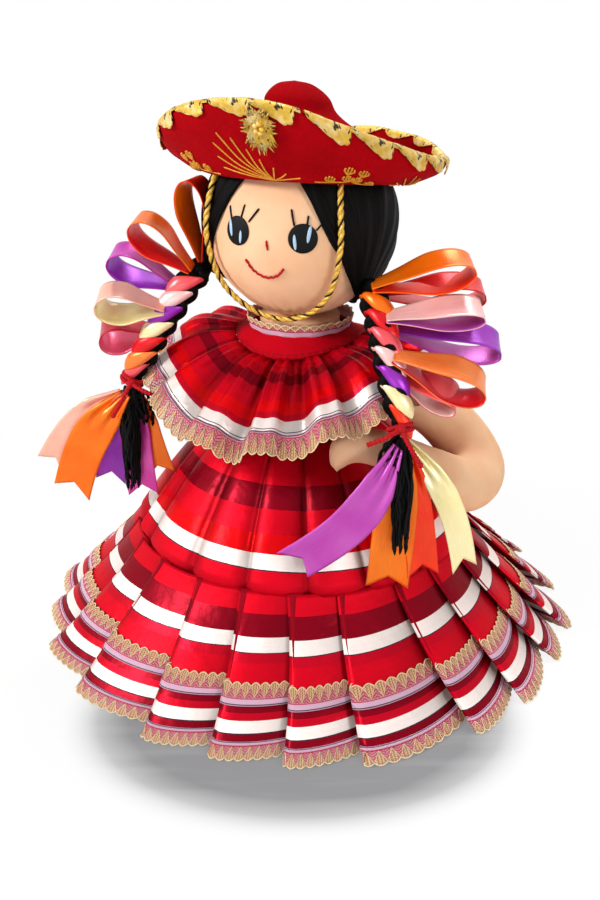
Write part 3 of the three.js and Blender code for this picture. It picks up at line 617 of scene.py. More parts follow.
PINK_THREAD = Thread("pink_thread", paint("d64a68"), paint("b02c4c"), 0.6)
YOKE_THREAD = Thread("yoke_thread", paint("a10a1c"), paint("7c0714"))
GOLD_TRIM = GoldBraid("gold_trim", paint("ffd94e"), paint("c68c1c"), paint("241f08"))
LACE_PAINTS = (paint("dfb4cc"), paint("cb4a60"), paint("e4c88c"))
RED = paint("c7041c")
BRIGHT = paint("da050e")
MAROON = paint("800318")
CRIMSON = paint("bb0620")
WHITE = paint("eaded8")
LINE = paint("3a2430")


def satin(name: str, colour: str, lit_tone: str) -> Satin:
    """A satin of one colour and its lit tone."""
    return Satin("satin_" + name, paint(colour), paint(lit_tone))


SATINS = {
    "orange": satin("orange", "f76a08", "ff8d1c"),
    "red_orange": satin("red_orange", "f4300c", "ff5420"),
    "red": satin("red", "db0d18", "f02a28"),
    "crimson": satin("crimson", "b80a26", "d81c3c"),
    "salmon": satin("salmon", "f0545c", "fb8580"),
    "pink": satin("pink", "e65c7c", "f2889c"),
    "blush": satin("blush", "f4c0bc", "fcdcd8"),
    "magenta": satin("magenta", "b41aa0", "d44cbc"),
    "purple": satin("purple", "8f1dae", "b04ac8"),
    "orchid": satin("orchid", "bb42ac", "cf70c4"),
    "rose": satin("rose", "d838a4", "e868ba"),
    "peach": satin("peach", "f6b29a", "fdd2be"),
    "cream": satin("cream", "f3e2a4", "fbf2cc"),
    "tangerine": satin("tangerine", "f77c30", "fda05c"),
}


def fresh() -> bmesh.types.BMesh:
    """An empty mesh with a map for its cloth."""
    bm = bmesh.new()
    bm.loops.layers.uv.new("weave")
    return bm


def weave(bm: bmesh.types.BMesh, columns: int, rows: int, place: Place, finish: int = 0) -> None:
    """Lays a grid, moves each of its points into place and joins the edges that meet.

    Args:
        bm: The mesh to add to.
        columns: Steps along the first direction.
        rows: Steps along the second direction.
        place: Gives a point for two shares from 0 to 1.
        finish: Number of the material slot.
    """
    made = bmesh.ops.create_grid(bm, x_segments=columns, y_segments=rows, size=0.5, calc_uvs=True)
    for vert in made["verts"]:
        vert.co = place(vert.co.x + 0.5, vert.co.y + 0.5)
    for face in {face for vert in made["verts"] for face in vert.link_faces}:
        face.material_index = finish
    bmesh.ops.remove_doubles(bm, verts=made["verts"], dist=1e-4)


class Path:
    """A smooth line through points, walked by its length."""

    def __init__(self, knots: Sequence[Sequence[float]], hint: Vector, samples: int = 160) -> None:
        """Smooths the points and carries a side direction along them.

        Args:
            knots: The points that the line passes through.
            hint: Roughly where the side direction points at the start.
            samples: How many points stand for the line.
        """
        self.points = self._smooth([Vector(knot) for knot in knots], samples)
        self.reach = [0.0]
        for a, b in zip(self.points, self.points[1:]):
            self.reach.append(self.reach[-1] + (b - a).length)
        self.length = self.reach[-1]
        self.sides = self._carry(hint)

    @staticmethod
    def _smooth(knots: list[Vector], samples: int) -> list[Vector]:
        """Samples a centripetal spline through the knots."""
        ends = [2 * knots[0] - knots[1], *knots, 2 * knots[-1] - knots[-2]]
        spans = len(knots) - 1
        steps = max(2, samples // spans)
        line = []
        for i in range(spans):
            a, b, c, d = ends[i : i + 4]
            t1 = max(1e-6, (b - a).length ** 0.5)
            t2 = t1 + max(1e-6, (c - b).length ** 0.5)
            t3 = t2 + max(1e-6, (d - c).length ** 0.5)
            for k in range(steps + (i == spans - 1)):
                t = t1 + (t2 - t1) * k / steps
                ab = a.lerp(b, t / t1)
                bc = b.lerp(c, (t - t1) / (t2 - t1))
                cd = c.lerp(d, (t - t2) / (t3 - t2))
                near = ab.lerp(bc, t / t2)
                far = bc.lerp(cd, (t - t1) / (t3 - t1))
                line.append(near.lerp(far, (t - t1) / (t2 - t1)))
        return line

    def _carry(self, hint: Vector) -> list[Vector]:
        """Side directions that turn no more than the line does."""
        sides = []
        side = hint
        for i in range(len(self.points)):
            ahead = self._ahead(i)
            side = (side - ahead * side.dot(ahead)).normalized()
            sides.append(side)
        return sides

    def _ahead(self, i: int) -> Vector:
        """Direction of the line at one of its points."""
        low, high = max(0, i - 1), min(len(self.points) - 1, i + 1)
        return (self.points[high] - self.points[low]).normalized()

    def _find(self, share: float) -> tuple[int, float]:
        """The span that holds a share of the length, and how far into it."""
        want = min(max(share, 0.0), 1.0) * self.length
        i = min(max(bisect.bisect_right(self.reach, want) - 1, 0), len(self.points) - 2)
        return i, (want - self.reach[i]) / max(1e-9, self.reach[i + 1] - self.reach[i])

    def at(self, share: float) -> Vector:
        """The point at a share of the length."""
        i, part = self._find(share)
        return self.points[i].lerp(self.points[i + 1], part)

    def frame(self, share: float) -> tuple[Vector, Vector, Vector, Vector]:
        """The point, the way ahead, and the two directions across."""
        i, part = self._find(share)
        ahead = self._ahead(i).lerp(self._ahead(i + 1), part).normalized()
        side = self.sides[i].lerp(self.sides[i + 1], part)
        side = (side - ahead * side.dot(ahead)).normalized()
        return self.at(share), ahead, side, ahead.cross(side)

    def ring(self, share: float, turn: float, radius: float) -> Vector:
        """A point round the line at an angle."""
        point, _, side, over = self.frame(share)
        return point + side * (radius * math.cos(turn)) + over * (radius * math.sin(turn))


def tube(
    bm: bmesh.types.BMesh,
    path: Path,
    girth: Callable[[float], float],
    columns: int,
    sides: int,
    finish: int = 0,
) -> None:
    """Sweeps a round section along a path; the girth closes it at the ends.

    Args:
        bm: The mesh to add to.
        path: The line to follow.
        girth: Radius at a share of the length.
        columns: Steps along the path.
        sides: Steps round it.
        finish: Number of the material slot.
    """
    weave(bm, columns, sides, lambda u, v: path.ring(u, FULL * v, girth(u)), finish)


def dome(share: float) -> float:
    """Rises from 0 to 1 as a quarter of a circle does, and stays there."""
    return math.sqrt(max(0.0, 1 - (1 - min(1.0, share)) ** 2))


def blunt(radius: float, cap: float) -> Callable[[float], float]:
    """An even girth with rounded ends."""
    return lambda u: radius * dome(min(u, 1 - u) / cap)


def strand(bm: bmesh.types.BMesh, knots: Sequence[Sequence[float]], radius: float, hint: Vector) -> None:
    """A short thread through a few points."""
    path = Path(knots, hint, 8 * len(knots))
    tube(bm, path, blunt(radius, 0.12), 5 * len(knots), 6)


def off_axis(point: Vector) -> Vector:
    """Straight out from the doll's upright axis, tipped a little up."""
    return Vector((point.x, point.y, 0.35 * math.hypot(point.x, point.y))).normalized()


def ring_thread(bm: bmesh.types.BMesh, points: Sequence[Vector], radius: float, finish: int) -> None:
    """A thin closed thread through many points round the doll.

    Args:
        bm: The mesh to add to.
        points: The thread's corners, the last one joined to the first.
        radius: Half the thread's thickness.
        finish: Number of the material slot.
    """
    count = len(points)

    def place(u: float, v: float) -> Vector:
        """One corner of the thread's four-sided section."""
        i = round(u * count) % count
        ahead = (points[(i + 1) % count] - points[i - 1]).normalized()
        off = off_axis(points[i])
        side = ahead.cross(off).normalized()
        return points[i] + side * (radius * math.cos(FULL * v)) + off * (radius * math.sin(FULL * v))

    weave(bm, count, 4, place, finish)


def face_out(bm: bmesh.types.BMesh, middle: Vector) -> None:
    """Turns an open sheet so that its front looks away from a point or its upright axis."""
    total = 0.0
    for face in bm.faces:
        face.normal_update()
        total += face.normal.dot(face.calc_center_median() - middle) * face.calc_area()
    if total < 0:
        bmesh.ops.reverse_faces(bm, faces=bm.faces[:])


def turned(bm: bmesh.types.BMesh, outline: Sequence[Vector], steps: int) -> None:
    """Spins an outline round the upright axis."""
    verts = [bm.verts.new(point) for point in outline]
    edges = [bm.edges.new(pair) for pair in zip(verts, verts[1:])]
    geom = verts + edges
    bmesh.ops.spin(bm, geom=geom, axis=UP, cent=(0, 0, 0), angle=FULL, steps=steps, use_merge=True)


def close_holes(bm: bmesh.types.BMesh) -> None:
    """Fills every open edge loop."""
    bmesh.ops.holes_fill(bm, edges=[edge for edge in bm.edges if edge.is_boundary], sides=0)


def area_of(bm: bmesh.types.BMesh) -> float:
    """One side's area in square metres, for a mesh in millimetres."""
    return sum(face.calc_area() for face in bm.faces) * MM * MM


def finish_mesh(
    bm: bmesh.types.BMesh, name: str, finishes: Sequence[Finish], closed: bool = False
) -> bpy.types.Object:
    """Writes a mesh in metres and puts it in the scene.

    Args:
        bm: The mesh in millimetres; it is freed.
        name: The piece's name.
        finishes: Its material slots in order.
        closed: Whether every part of it is a closed body.

    Returns:
        The new object.
    """
    if closed:
        bmesh.ops.recalc_face_normals(bm, faces=bm.faces[:])
    bmesh.ops.scale(bm, vec=(MM, MM, MM), verts=bm.verts[:])
    mesh = bpy.data.meshes.new(name)
    bm.to_mesh(mesh)
    bm.free()
    mesh.shade_smooth()
    for finish in finishes:
        mesh.materials.append(finish.material())
    piece = bpy.data.objects.new(name, mesh)
    bpy.context.scene.collection.objects.link(piece)
    return piece


def thicken(piece: bpy.types.Object, thickness: float, offset: float = -1.0, lining: int = 0) -> None:
    """Gives a sheet its thickness with a modifier.

    Args:
        piece: The sheet.
        thickness: In millimetres.
        offset: -1 grows inwards, 0 both ways.
        lining: How many material slots further on the inner face is.
    """
    wall = piece.modifiers.new("thickness", "SOLIDIFY")
    wall.thickness = thickness * MM
    wall.offset = offset
    wall.material_offset = lining


def smooth(piece: bpy.types.Object, levels: int = 1) -> None:
    """Adds a subdivision surface."""
    rounding = piece.modifiers.new("rounding", "SUBSURF")
    rounding.levels = levels
    rounding.render_levels = levels


def settle(piece: bpy.types.Object, body: str, slot: str, *nodes: str) -> None:
    """Makes a piece ride on its body and stand for its solids.

    Args:
        piece: The finished piece.
        body: The body that carries it.
        slot: Not used.
        nodes: The solids that it replaces.
    """
    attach(piece, body)
    if nodes:
        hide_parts(*nodes)
    LOG.info("%s rides on %s", piece.name, body)


@dataclass
class Studio:
    """Camera, floor and lamps."""

    distance: float = 634.0
    height: float = 391.0
    pitch: float = 23.5
    lens: float = 41.0
    lamps: tuple[tuple[tuple[float, float, float], float, float], ...] = (
        ((-1.2, -1.15, 1.15), 0.6, 30.0),
        ((1.3, -0.7, 0.7), 0.5, 7.5),
        ((0.1, 0.66, 1.6), 0.9, 20.0),
        ((0.1, -1.6, 0.2), 0.7, 2.5),
    )

    def build(self) -> None:
        """Sets up everything that isn't part of the doll."""
        self._camera()
        self._floor()
        self._lamps()
        self._world()
        bpy.context.scene.view_settings.view_transform = "Standard"

    def _camera(self) -> None:
        """Stands the camera where the photograph was taken from."""
        data = bpy.data.cameras.new("camera")
        data.lens = self.lens
        data.sensor_fit = "VERTICAL"
        data.sensor_height = 36.0
        data.clip_start = 0.01
        camera = bpy.data.objects.new("camera", data)
        spot = VIEWER * self.distance + UP * self.height
        camera.location = spot * MM
        camera.rotation_euler = (math.radians(90 - self.pitch), 0, FACING)
        bpy.context.scene.collection.objects.link(camera)
        bpy.context.scene.camera = camera

    def _floor(self) -> None:
        """Lays a wide pale floor under the hem."""
        bm = fresh()
        bmesh.ops.create_grid(bm, x_segments=1, y_segments=1, size=6000.0)
        floor = finish_mesh(bm, "floor", [Stage("floor_white", 0.88)])
        floor.location.z = -0.0006

    def _lamps(self) -> None:
        """Hangs soft lamps that all look at the doll's chest."""
        for i, (spot, size, power) in enumerate(self.lamps):
            data = bpy.data.lights.new(f"lamp_{i}", "AREA")
            data.shape = "DISK"
            data.size = size
            data.energy = power
            lamp = bpy.data.objects.new(f"lamp_{i}", data)
            lamp.location = spot
            way = Vector((0, 0, 0.17)) - Vector(spot)
            lamp.rotation_euler = way.to_track_quat("-Z", "Y").to_euler()
            bpy.context.scene.collection.objects.link(lamp)

    def _world(self) -> None:
        """White to the camera and in reflections, softer as a light."""
        shader = Backdrop("studio")
        white = (1, 1, 1, 1)
        soft = shader.node("ShaderNodeBackground", {}, {"Color": white, "Strength": 0.2})
        full = shader.node("ShaderNodeBackground", {}, {"Color": white, "Strength": 1.0})
        inputs = {0: shader.seen(), 1: soft.outputs[0], 2: full.outputs[0]}
        both = shader.node("ShaderNodeMixShader", {}, inputs)
        shader.node("ShaderNodeOutputWorld", {}, {0: both.outputs[0]})
        bpy.context.scene.world = shader.world


def run_length(points: Sequence[Vector]) -> float:
    """Length in metres of a line through points in millimetres."""
    return sum((b - a).length for a, b in zip(points, points[1:])) * MM


@dataclass
class Tier:
    """A ring of cloth that hangs in folds."""

    top_radius: float
    top_height: float
    foot_radius: float
    foot_height: float
    flare: float
    fold: Fold = Fold.PLAIN
    folds: int = 16
    top_depth: float = 0.0
    foot_depth: float = 0.0
    side_spread: float = 0.0
    seam_lift: float = 0.0
    side_lift: float = 0.0
    puff: float = 0.0
    overlap: float = 0.0
    unevenness: float = 0.0
    sway: float = 0.0
    bloom: float = 1.0
    upward: float = 0.0
    tuck: float = 0.0
    skew: float = 0.0

    def _edge(self, pleat: int, down: float) -> float:
        """Where one pleat begins, counted in pleats; uneven, and not quite straight down."""
        turn = pleat % self.folds
        wander = 0.3 * jitter(turn, 2.0) * (0.4 + 0.6 * down)
        wander += 0.12 * jitter(turn, 4.0) * math.sin(3.2 * down)
        return pleat + self.unevenness * wander

    def _gather(self, around: float, down: float) -> tuple[float, float]:
        """Where round the ring a share of the cloth lies, and how far out its fold is."""
        count = around * self.folds
        if self.fold is Fold.PLAIN:
            return around, 0.0
        slow = math.sin(FULL * (around * 5 + 0.2)) + math.sin(FULL * (around * 7 + 0.61))
        if self.fold is Fold.SOFT:
            wave = math.sin(FULL * count)
            wave = 0.5 * math.tanh(1.9 * wave) / math.tanh(1.9) + 0.09 * math.sin(2 * FULL * count + 0.9)
            wave += 0.45 * self.unevenness * max(0.0, 1 - down) ** 2 * math.sin(3 * FULL * count + 2.0 * slow)
            shift = 0.12 * self.unevenness * slow / self.folds
            return around + shift, wave * (1 + 0.3 * self.unevenness * slow)
        if self.fold is Fold.PRESSED:
            wave = abs(math.sin(math.pi * count)) ** 0.6 - 0.6 + 0.16 * math.sin(FULL * count + 1.0)
            shift = 0.16 * self.unevenness * slow / self.folds
            return around + shift, wave * (1 + 0.4 * self.unevenness * slow)
        pleat = min(self.folds - 1, math.floor(count + 1e-9))
        part = max(0.0, count - pleat)
        start, end = self._edge(pleat, down), self._edge(pleat + 1, down)
        own, after = jitter(pleat, 5.0), jitter((pleat + 1) % self.folds, 5.0)
        lap = self.overlap * (1 - 0.4 * down)
        face = 0.75
        if part < face:
            share = part / face
            wave = 0.5 - share ** 1.6 - 0.14 * math.exp(-share / 0.05)
            place = (start + (end - start + lap) * share) / self.folds
            return place, wave * (1 + 0.45 * self.unevenness * own)
        share = (part - face) / (1 - face)
        wave = share - 0.5 - 0.14 * share ** 8
        deep = own + (after - own) * share
        return (end + lap * (1 - share)) / self.folds, wave * (1 + 0.45 * self.unevenness * deep)

    def point(self, around: float, down: float, out: float = 0.0) -> Vector:
        """A point of the cloth.

        Args:
            around: Share round the ring, from the front towards the doll's left.
            down: Share of the drop, from the top edge.
            out: How far off the cloth.

        Returns:
            The point in millimetres.
        """
        place, wave = self._gather(around, down)
        turn = FULL * place
        depth = self.top_depth + (self.foot_depth - self.top_depth) * max(0.0, down) ** self.bloom
        radius = self.top_radius + (self.foot_radius - self.top_radius) * max(0.0, down) ** self.flare
        side = math.sin(turn) ** 2
        lift = wave * depth + out
        radius -= self.tuck * ease(0.93, 1.0, down)
        reach = (radius + lift * (1 - 0.55 * self.upward)) * (1 + self.side_spread * side * down)
        height = self.top_height + (self.foot_height - self.top_height) * down + lift * self.upward
        swell = self.side_lift * down + self.puff * math.sin(math.pi * min(1.0, down))
        height += side * self.seam_lift + math.sin(turn + math.radians(self.skew)) ** 2 * swell
        swung = self.sway * down
        return Vector((reach * math.sin(turn) + swung, -reach * math.cos(turn) + 0.36 * swung, height))

    def sheet(self, bm: bmesh.types.BMesh, columns: int, rows: int, top: float, foot: float) -> None:
        """Adds the cloth between two shares of the drop, its front outwards."""
        weave(bm, columns, rows, lambda u, v: self.point(u, foot + (top - foot) * v))

    def hem_length(self, down: float, steps: int = 900) -> float:
        """Length of the cloth along one level, folds and all, in metres."""
        return run_length([self.point(i / steps, down) for i in range(steps + 1)])

    def drop_length(self, top: float, foot: float) -> float:
        """Length of the cloth down its slope, in metres."""
        shares = [top + (foot - top) * i / 40 for i in range(41)]
        return run_length([self.point(0.02, share) for share in shares])


@dataclass
class Lace:
    """A band of lace along a tier, with raised threads on its net."""

    name: str
    node: str
    tier: Tier
    heading: float
    edge: float
    scallops: int
    columns: int
    out: float
    band: float
    rests_on: str

    def _at(self, around: float, across: float, out: float) -> Vector:
        """A point of the lace; across runs from its scalloped edge to its heading."""
        return self.tier.point(around, self.edge + (self.heading - self.edge) * across, self.out + out)

    def _zigzag(self) -> list[Vector]:
        """Corners of the raised zigzag."""
        count = 2 * self.scallops
        return [self._at(i / count, self.band - 0.05 if i % 2 else 0.14, 0.5) for i in range(count)]

    def _shells(self, across: float, swing: float) -> list[Vector]:
        """Corners of a raised scalloped line."""
        count = 6 * self.scallops
        waves = [abs(math.sin(math.pi * i / 6)) for i in range(count)]
        return [self._at(i / count, across - swing * wave, 0.45) for i, wave in enumerate(waves)]

    def build(self) -> None:
        bm = fresh()
        weave(bm, self.columns, 5, lambda u, v: self._at(u, v, 0.0))
        face_out(bm, Vector((0, 0, -300)))
        area = area_of(bm)
        finish = LaceNet(self.name + "_net", self.scallops, self.band, *LACE_PAINTS)
        net = finish_mesh(bm, self.name, [finish])
        thicken(net, 0.5, 0.0)
        settle(net, "doll", "pink_lace", self.node)
        bm = fresh()
        ring_thread(bm, self._zigzag(), 0.36, 0)
        ring_thread(bm, self._shells(0.15, 0.15), 0.36, 0)
        ring_thread(bm, self._shells(self.band, 0.0), 0.32, 1)
        threads = finish_mesh(bm, self.name + "_threads", [CREAM_THREAD, PINK_THREAD], True)
        settle(threads, "doll", "pink_lace")
        width = self.tier.hem_length((self.heading + self.edge) / 2)
        drop = max(0.0102, self.tier.drop_length(self.heading, self.edge))
        flat = max(width, area / drop), drop


def bands(*rows: tuple[float, Colour, float]) -> tuple[Band, ...]:
    """Bands from short rows of start, colour and mattness."""
    return tuple(Band(*row) for row in rows)


@dataclass
class Dress:
    """Bodice, yoke, collar, ruffle, two-tier skirt, petticoat and their lace."""

    cloth: float = 1.2
    ruffle_tier: Tier = field(default_factory=lambda: Tier(
        40.8, 192.2, 99.8, 152.0, 0.7, Fold.SOFT, 15, 1.9, 10.5, side_spread=-0.05, seam_lift=8.0,
        side_lift=18.0, puff=9.0, unevenness=0.95, bloom=0.55, upward=0.8, skew=13.0))
    skirt_tier: Tier = field(default_factory=lambda: Tier(
        39.7, 150.0, 113.0, 66.5, 0.75, Fold.PRESSED, 17, 2.4, 8.0, unevenness=0.8, sway=2.0, bloom=0.6,
        upward=0.5, tuck=4.0))
    flounce_tier: Tier = field(default_factory=lambda: Tier(
        109.0, 69.5, 173.0, 0.3, 1.15, Fold.KNIFE, 22, 3.0, 19.0, overlap=0.32, unevenness=0.8, sway=5.0))
    petticoat_tier: Tier = field(default_factory=lambda: Tier(
        38.1, 148.1, 152.0, 5.0, 1.0, Fold.SOFT, 24, 0.5, 4.0))
    yoke_tier: Tier = field(default_factory=lambda: Tier(31.0, 205.0, 41.0, 192.6, 0.85, side_lift=8.0))
    collar_tier: Tier = field(default_factory=lambda: Tier(
        33.4, 212.0, 31.6, 203.5, 1.0, Fold.SOFT, 12, 1.2, 0.4))
    bodice_tier: Tier = field(default_factory=lambda: Tier(
        38.3, 193.0, 38.3, 150.0, 1.0, Fold.SOFT, 30, 0.4, 0.8))
    ruffle_hem: float = 0.785
    lace_top: float = 0.56
    lace_foot: float = 0.7
    hem_seam: float = 0.9
    armhole_height: float = 172.0
    armhole_radius: float = 16.5

    def build(self) -> None:
        """Makes every cloth piece of the dress."""
        self._petticoat()
        self._bodice()
        self._skirt()
        self._flounce()
        self._yoke()
        self._ruffle()
        self._laces()

    def _cloth(
        self, name: str, node: str, slot: str, tier: Tier, span: tuple[float, float], grid: tuple[int, int],
        outside: Finish, inside: Finish,
    ) -> None:
        """Args:
            name: The piece's name.
            node: The solid that it replaces.
            slot: The record's material slot.
            tier: Its form.
            span: Top and foot shares of the drop.
            grid: Columns and rows.
            outside: Finish of the right side.
            inside: Finish of the wrong side.
        """
        top, foot = span
        bm = fresh()
        tier.sheet(bm, grid[0], grid[1], top, foot)
        area = area_of(bm)
        piece = finish_mesh(bm, name, [outside, inside])
        thicken(piece, self.cloth, -1.0, 1)
        settle(piece, "doll", slot, node)
        drop = tier.drop_length(top, foot)
        width = max(tier.hem_length(foot), area / drop)

    def _petticoat(self) -> None:
        """White underskirt that holds the tiers out."""
        self._cloth("white_petticoat", "petticoat", "white_cotton", self.petticoat_tier, (0.0, 1.0),
                    (144, 14), WHITE_COTTON, WHITE_COTTON)

    def _bodice(self) -> None:
        """Plain red bodice with two armholes."""
        bm = fresh()
        self.bodice_tier.sheet(bm, 150, 18, 0.0, 1.0)
        holes = []
        for face in bm.faces:
            middle = face.calc_center_median()
            if math.hypot(middle.y, middle.z - self.armhole_height) < self.armhole_radius:
                holes.append(face)
        bmesh.ops.delete(bm, geom=holes, context="FACES")
        area = area_of(bm)
        piece = finish_mesh(bm, "red_bodice", [YOKE_RED, LINING])
        thicken(piece, self.cloth, -1.0, 1)
        settle(piece, "doll", "red_satin", "bodice")

    def _skirt(self) -> None:
        """Upper tier, in shallow pressed pleats."""
        finish = StripedSatin("skirt_stripes", 1.0, bands(
            (0.0, RED, 0.4), (0.335, MAROON, 0.3), (0.475, RED, 0.42), (0.62, BRIGHT, 0.3),
            (0.735, WHITE, 0.5), (0.83, LINE, 0.5), (0.836, RED, 0.55),
        ), self.skirt_tier.fold, self.skirt_tier.folds, 500.0)
        self._cloth("upper_tier", "upper_skirt", "striped_satin", self.skirt_tier, (0.0, 1.0), (272, 30),
                    finish, LINING)

    def _flounce(self) -> None:
        """Lower tier, in deep knife pleats."""
        finish = StripedSatin("flounce_stripes", 0.93, bands(
            (0.0, RED, 0.5), (0.15, MAROON, 0.32), (0.3, WHITE, 0.5), (0.395, LINE, 0.5),
            (0.402, CRIMSON, 0.34), (0.46, RED, 0.42), (0.67, MAROON, 0.32), (0.745, CRIMSON, 0.36),
            (0.79, WHITE, 0.5), (0.86, LINE, 0.5), (0.866, MAROON, 0.34),
        ), self.flounce_tier.fold, self.flounce_tier.folds)
        self._cloth("flounce_tier", "flounce", "striped_satin", self.flounce_tier, (0.0, 0.93), (440, 26),
                    finish, LINING)

    def _yoke(self) -> None:
        """Plain yoke with two rows of topstitching."""
        self._cloth("red_yoke", "yoke", "red_satin", self.yoke_tier, (0.0, 1.0), (96, 8),
                    YOKE_RED, LINING)
        bm = fresh()
        count = 56
        for level in (0.8, 0.92):
            for i in range(count):
                places = [((i + k * 0.35) / count, 0.15 + 0.25 * (k == 1)) for k in range(3)]
                strand(bm, [self.yoke_tier.point(at, level, lift) for at, lift in places], 0.22, UP)
        stitches = finish_mesh(bm, "yoke_stitches", [YOKE_THREAD], True)
        settle(stitches, "doll", "red_thread")

    def _ruffle(self) -> None:
        """Shoulder ruffle gathered into the yoke."""
        finish = StripedSatin("ruffle_stripes", 0.8, bands(
            (0.0, RED, 0.45), (0.06, CRIMSON, 0.24), (0.13, MAROON, 0.22), (0.24, CRIMSON, 0.24),
            (0.32, RED, 0.24), (0.44, BRIGHT, 0.24), (0.57, CRIMSON, 0.26), (0.64, WHITE, 0.3),
            (0.752, LINE, 0.5), (0.76, WHITE, 0.4), (0.785, LINE, 0.5),
        ), self.ruffle_tier.fold, self.ruffle_tier.folds, 500.0)
        self._cloth("shoulder_ruffle", "ruffle", "striped_satin", self.ruffle_tier, (0.0, 0.8), (288, 22),
                    finish, LINING)

    def _laces(self) -> None:
        """Collar, ruffle, mid-flounce and hem lace."""
        rows = [
            Lace("collar_edging", "collar_lace", self.collar_tier, 1.0, 0.0,
                 36, 192, 0.0, 0.5, "yoke"),
            Lace("ruffle_edging", "ruffle_lace", self.ruffle_tier, self.ruffle_hem - 0.005, 1.05,
                 114, 384, 0.5, 0.86, "ruffle"),
            Lace("flounce_edging", "flounce_lace", self.flounce_tier, self.lace_foot, self.lace_top,
                 264, 704, 1.1, 0.68, "flounce"),
            Lace("hem_edging", "hem_lace", self.flounce_tier, self.hem_seam, 1.0,
                 300, 704, 0.5, 0.8, "flounce"),
        ]
        for row in rows:
            row.build()


@dataclass
class Body:
    """Stuffed head, torso, arms and legs, with stitched face and shoes."""

    head: Vector = field(default_factory=HEAD_MIDDLE.copy)
    head_radius: float = 57.0
    right_eye: tuple[float, float] = (-18.2, 2.9)
    left_eye: tuple[float, float] = (20.8, 0.9)
    eye_size: tuple[float, float] = (15.6, 16.6)
    hip: float = 19.0
    slack: float = 1.3
    shoulder: Vector = field(default_factory=lambda: Vector((50.3, 0, 150)))
    left_arm: tuple[tuple[float, float, float, float], ...] = (
        (-13, 0, 25, 13), (0, 0, 22, 13), (22, 14, 6, 16), (46, 30, -16, 20), (64, 26, -40, 21),
        (62, -4, -40, 20), (46, -33, -20, 15.5), (22, -53, -2, 12.5), (3, -64.5, 2, 12.5), (-4, -68, -15, 4),
    )
    right_arm: tuple[tuple[float, float, float, float], ...] = (
        (-13, 0, 25, 13), (0, 0, 22, 13), (18, 24, 6, 16), (32, 60, -21, 19), (24, 92, -38, 21),
        (2, 104, -38, 19), (-20, 98, -24, 15), (-36, 86, -14, 12), (-45, 82, -30, 4),
    )

    def build(self) -> None:
        """Makes every stuffed piece and the face."""
        self._head()
        self._torso()
        for side, sign, knots in (("left", 1, self.left_arm), ("right", -1, self.right_arm)):
            self._arm(side, sign, knots)
            self._leg(side, sign)
        self._eyes()
        self._lashes()
        self._nose_and_mouth()

    def relief(self, way: Vector) -> float:
        """How far the stuffing swells or puckers the head in a direction."""
        cheek = sum(0.9 * math.exp(-((way.x - s * 0.5) ** 2 + (way.z + 0.25) ** 2) / 0.06) for s in (-1, 1))
        turn = math.atan2(way.x, -way.y)
        gather = 0.7 * math.sin(30 * turn) * ease(-0.62, -0.9, way.z)
        pucker = 0.0
        for s in (-1, 1):
            off = Vector((way.x - s * 0.78, way.y + 0.47, way.z + 0.42))
            spin = math.atan2(off.z, off.x * s)
            pucker += 0.4 * math.sin(11 * spin) * hump(off.length, 0.22, 0.13)
        return cheek * (way.y < 0) + gather + pucker

    def skin(self, way: Vector, lift: float = 0.0) -> Vector:
        """The point on the head in a direction from its middle."""
        unit = way.normalized()
        return self.head + unit * (self.head_radius + self.relief(unit) + lift)

    def on_face(self, x: float, z: float, lift: float = 0.0) -> Vector:
        """The point on the face straight behind a place on its flat drawing."""
        depth = math.sqrt(max(1.0, self.head_radius ** 2 - x * x - z * z))
        return self.skin(Vector((x, -depth, z)), lift)

    def _head(self) -> None:
        """Stuffed ball of cloth with full cheeks, gathered at the neck."""
        bm = fresh()
        bmesh.ops.create_uvsphere(bm, u_segments=120, v_segments=72, radius=1.0)
        for vert in bm.verts:
            vert.co = self.skin(vert.co)
        head = finish_mesh(bm, "stuffed_head", [SKIN], True)
        settle(head, "doll", "skin_cloth", "head")

    def _torso(self) -> None:
        """Stuffed trunk with its neck, turned from an outline."""
        outline = [(0.2, 79.6), (24, 79.6), (33, 86), (36.4, 108), (37, 150), (36.6, 174), (33.5, 186),
                   (29, 195), (25.6, 203), (25.4, 211)]
        path = Path([(r, 0, z) for r, z in outline], BACKWARDS, 60)
        bm = fresh()
        turned(bm, path.points, 64)
        close_holes(bm)
        torso = finish_mesh(bm, "stuffed_torso", [SKIN], True)
        settle(torso, "doll", "skin_cloth", "torso")

    def _arm(self, side: str, sign: int, knots: Sequence[tuple[float, float, float, float]]) -> None:
        """Stuffed arm that bends round the skirt."""
        points = [self.shoulder + Vector((out, back, rise)) for out, back, rise, _ in knots]
        path = Path([(sign * p.x, p.y, p.z) for p in points], UP, 200)
        steps = (len(path.points) - 1) / (len(knots) - 1)
        shares = [path.reach[round(i * steps)] / path.length for i in range(len(knots))]
        rows = [(share, knot[3]) for share, knot in zip(shares, knots)]

        def girth(share: float) -> float:
            """Radius along the arm before it swells, closed at the shoulder and the hand."""
            wide = 0.25 * sum(between(rows, share + shift) for shift in (-0.03, -0.01, 0.01, 0.03))
            shoulder, hand = dome(share * path.length / wide), dome((1 - share) * path.length / 7.0)
            return (wide - self.slack) * shoulder * hand

        bm = fresh()
        tube(bm, path, girth, 64, 24)
        arm = finish_mesh(bm, f"stuffed_arm_{side}", [SKIN], True)
        Stuffing().swell(arm)
        settle(arm, f"{side}_arm", "skin_cloth", f"arm_{side}")

    def _leg(self, side: str, sign: int) -> None:
        """Stuffed leg with its felt shoe."""
        hip = sign * self.hip
        path = Path([(hip, 0, 79), (hip, 0, 50), (hip, 0, 4)], SIDEWAYS, 60)
        rows = [(0.0, 13.4), (0.35, 13.6), (0.8, 9.6), (1.0, 9.4)]

        def girth(share: float) -> float:
            """Radius down the leg, round at both ends."""
            wide = between(rows, share)
            return wide * dome(share * path.length / wide) * dome((1 - share) * path.length / 6.0)

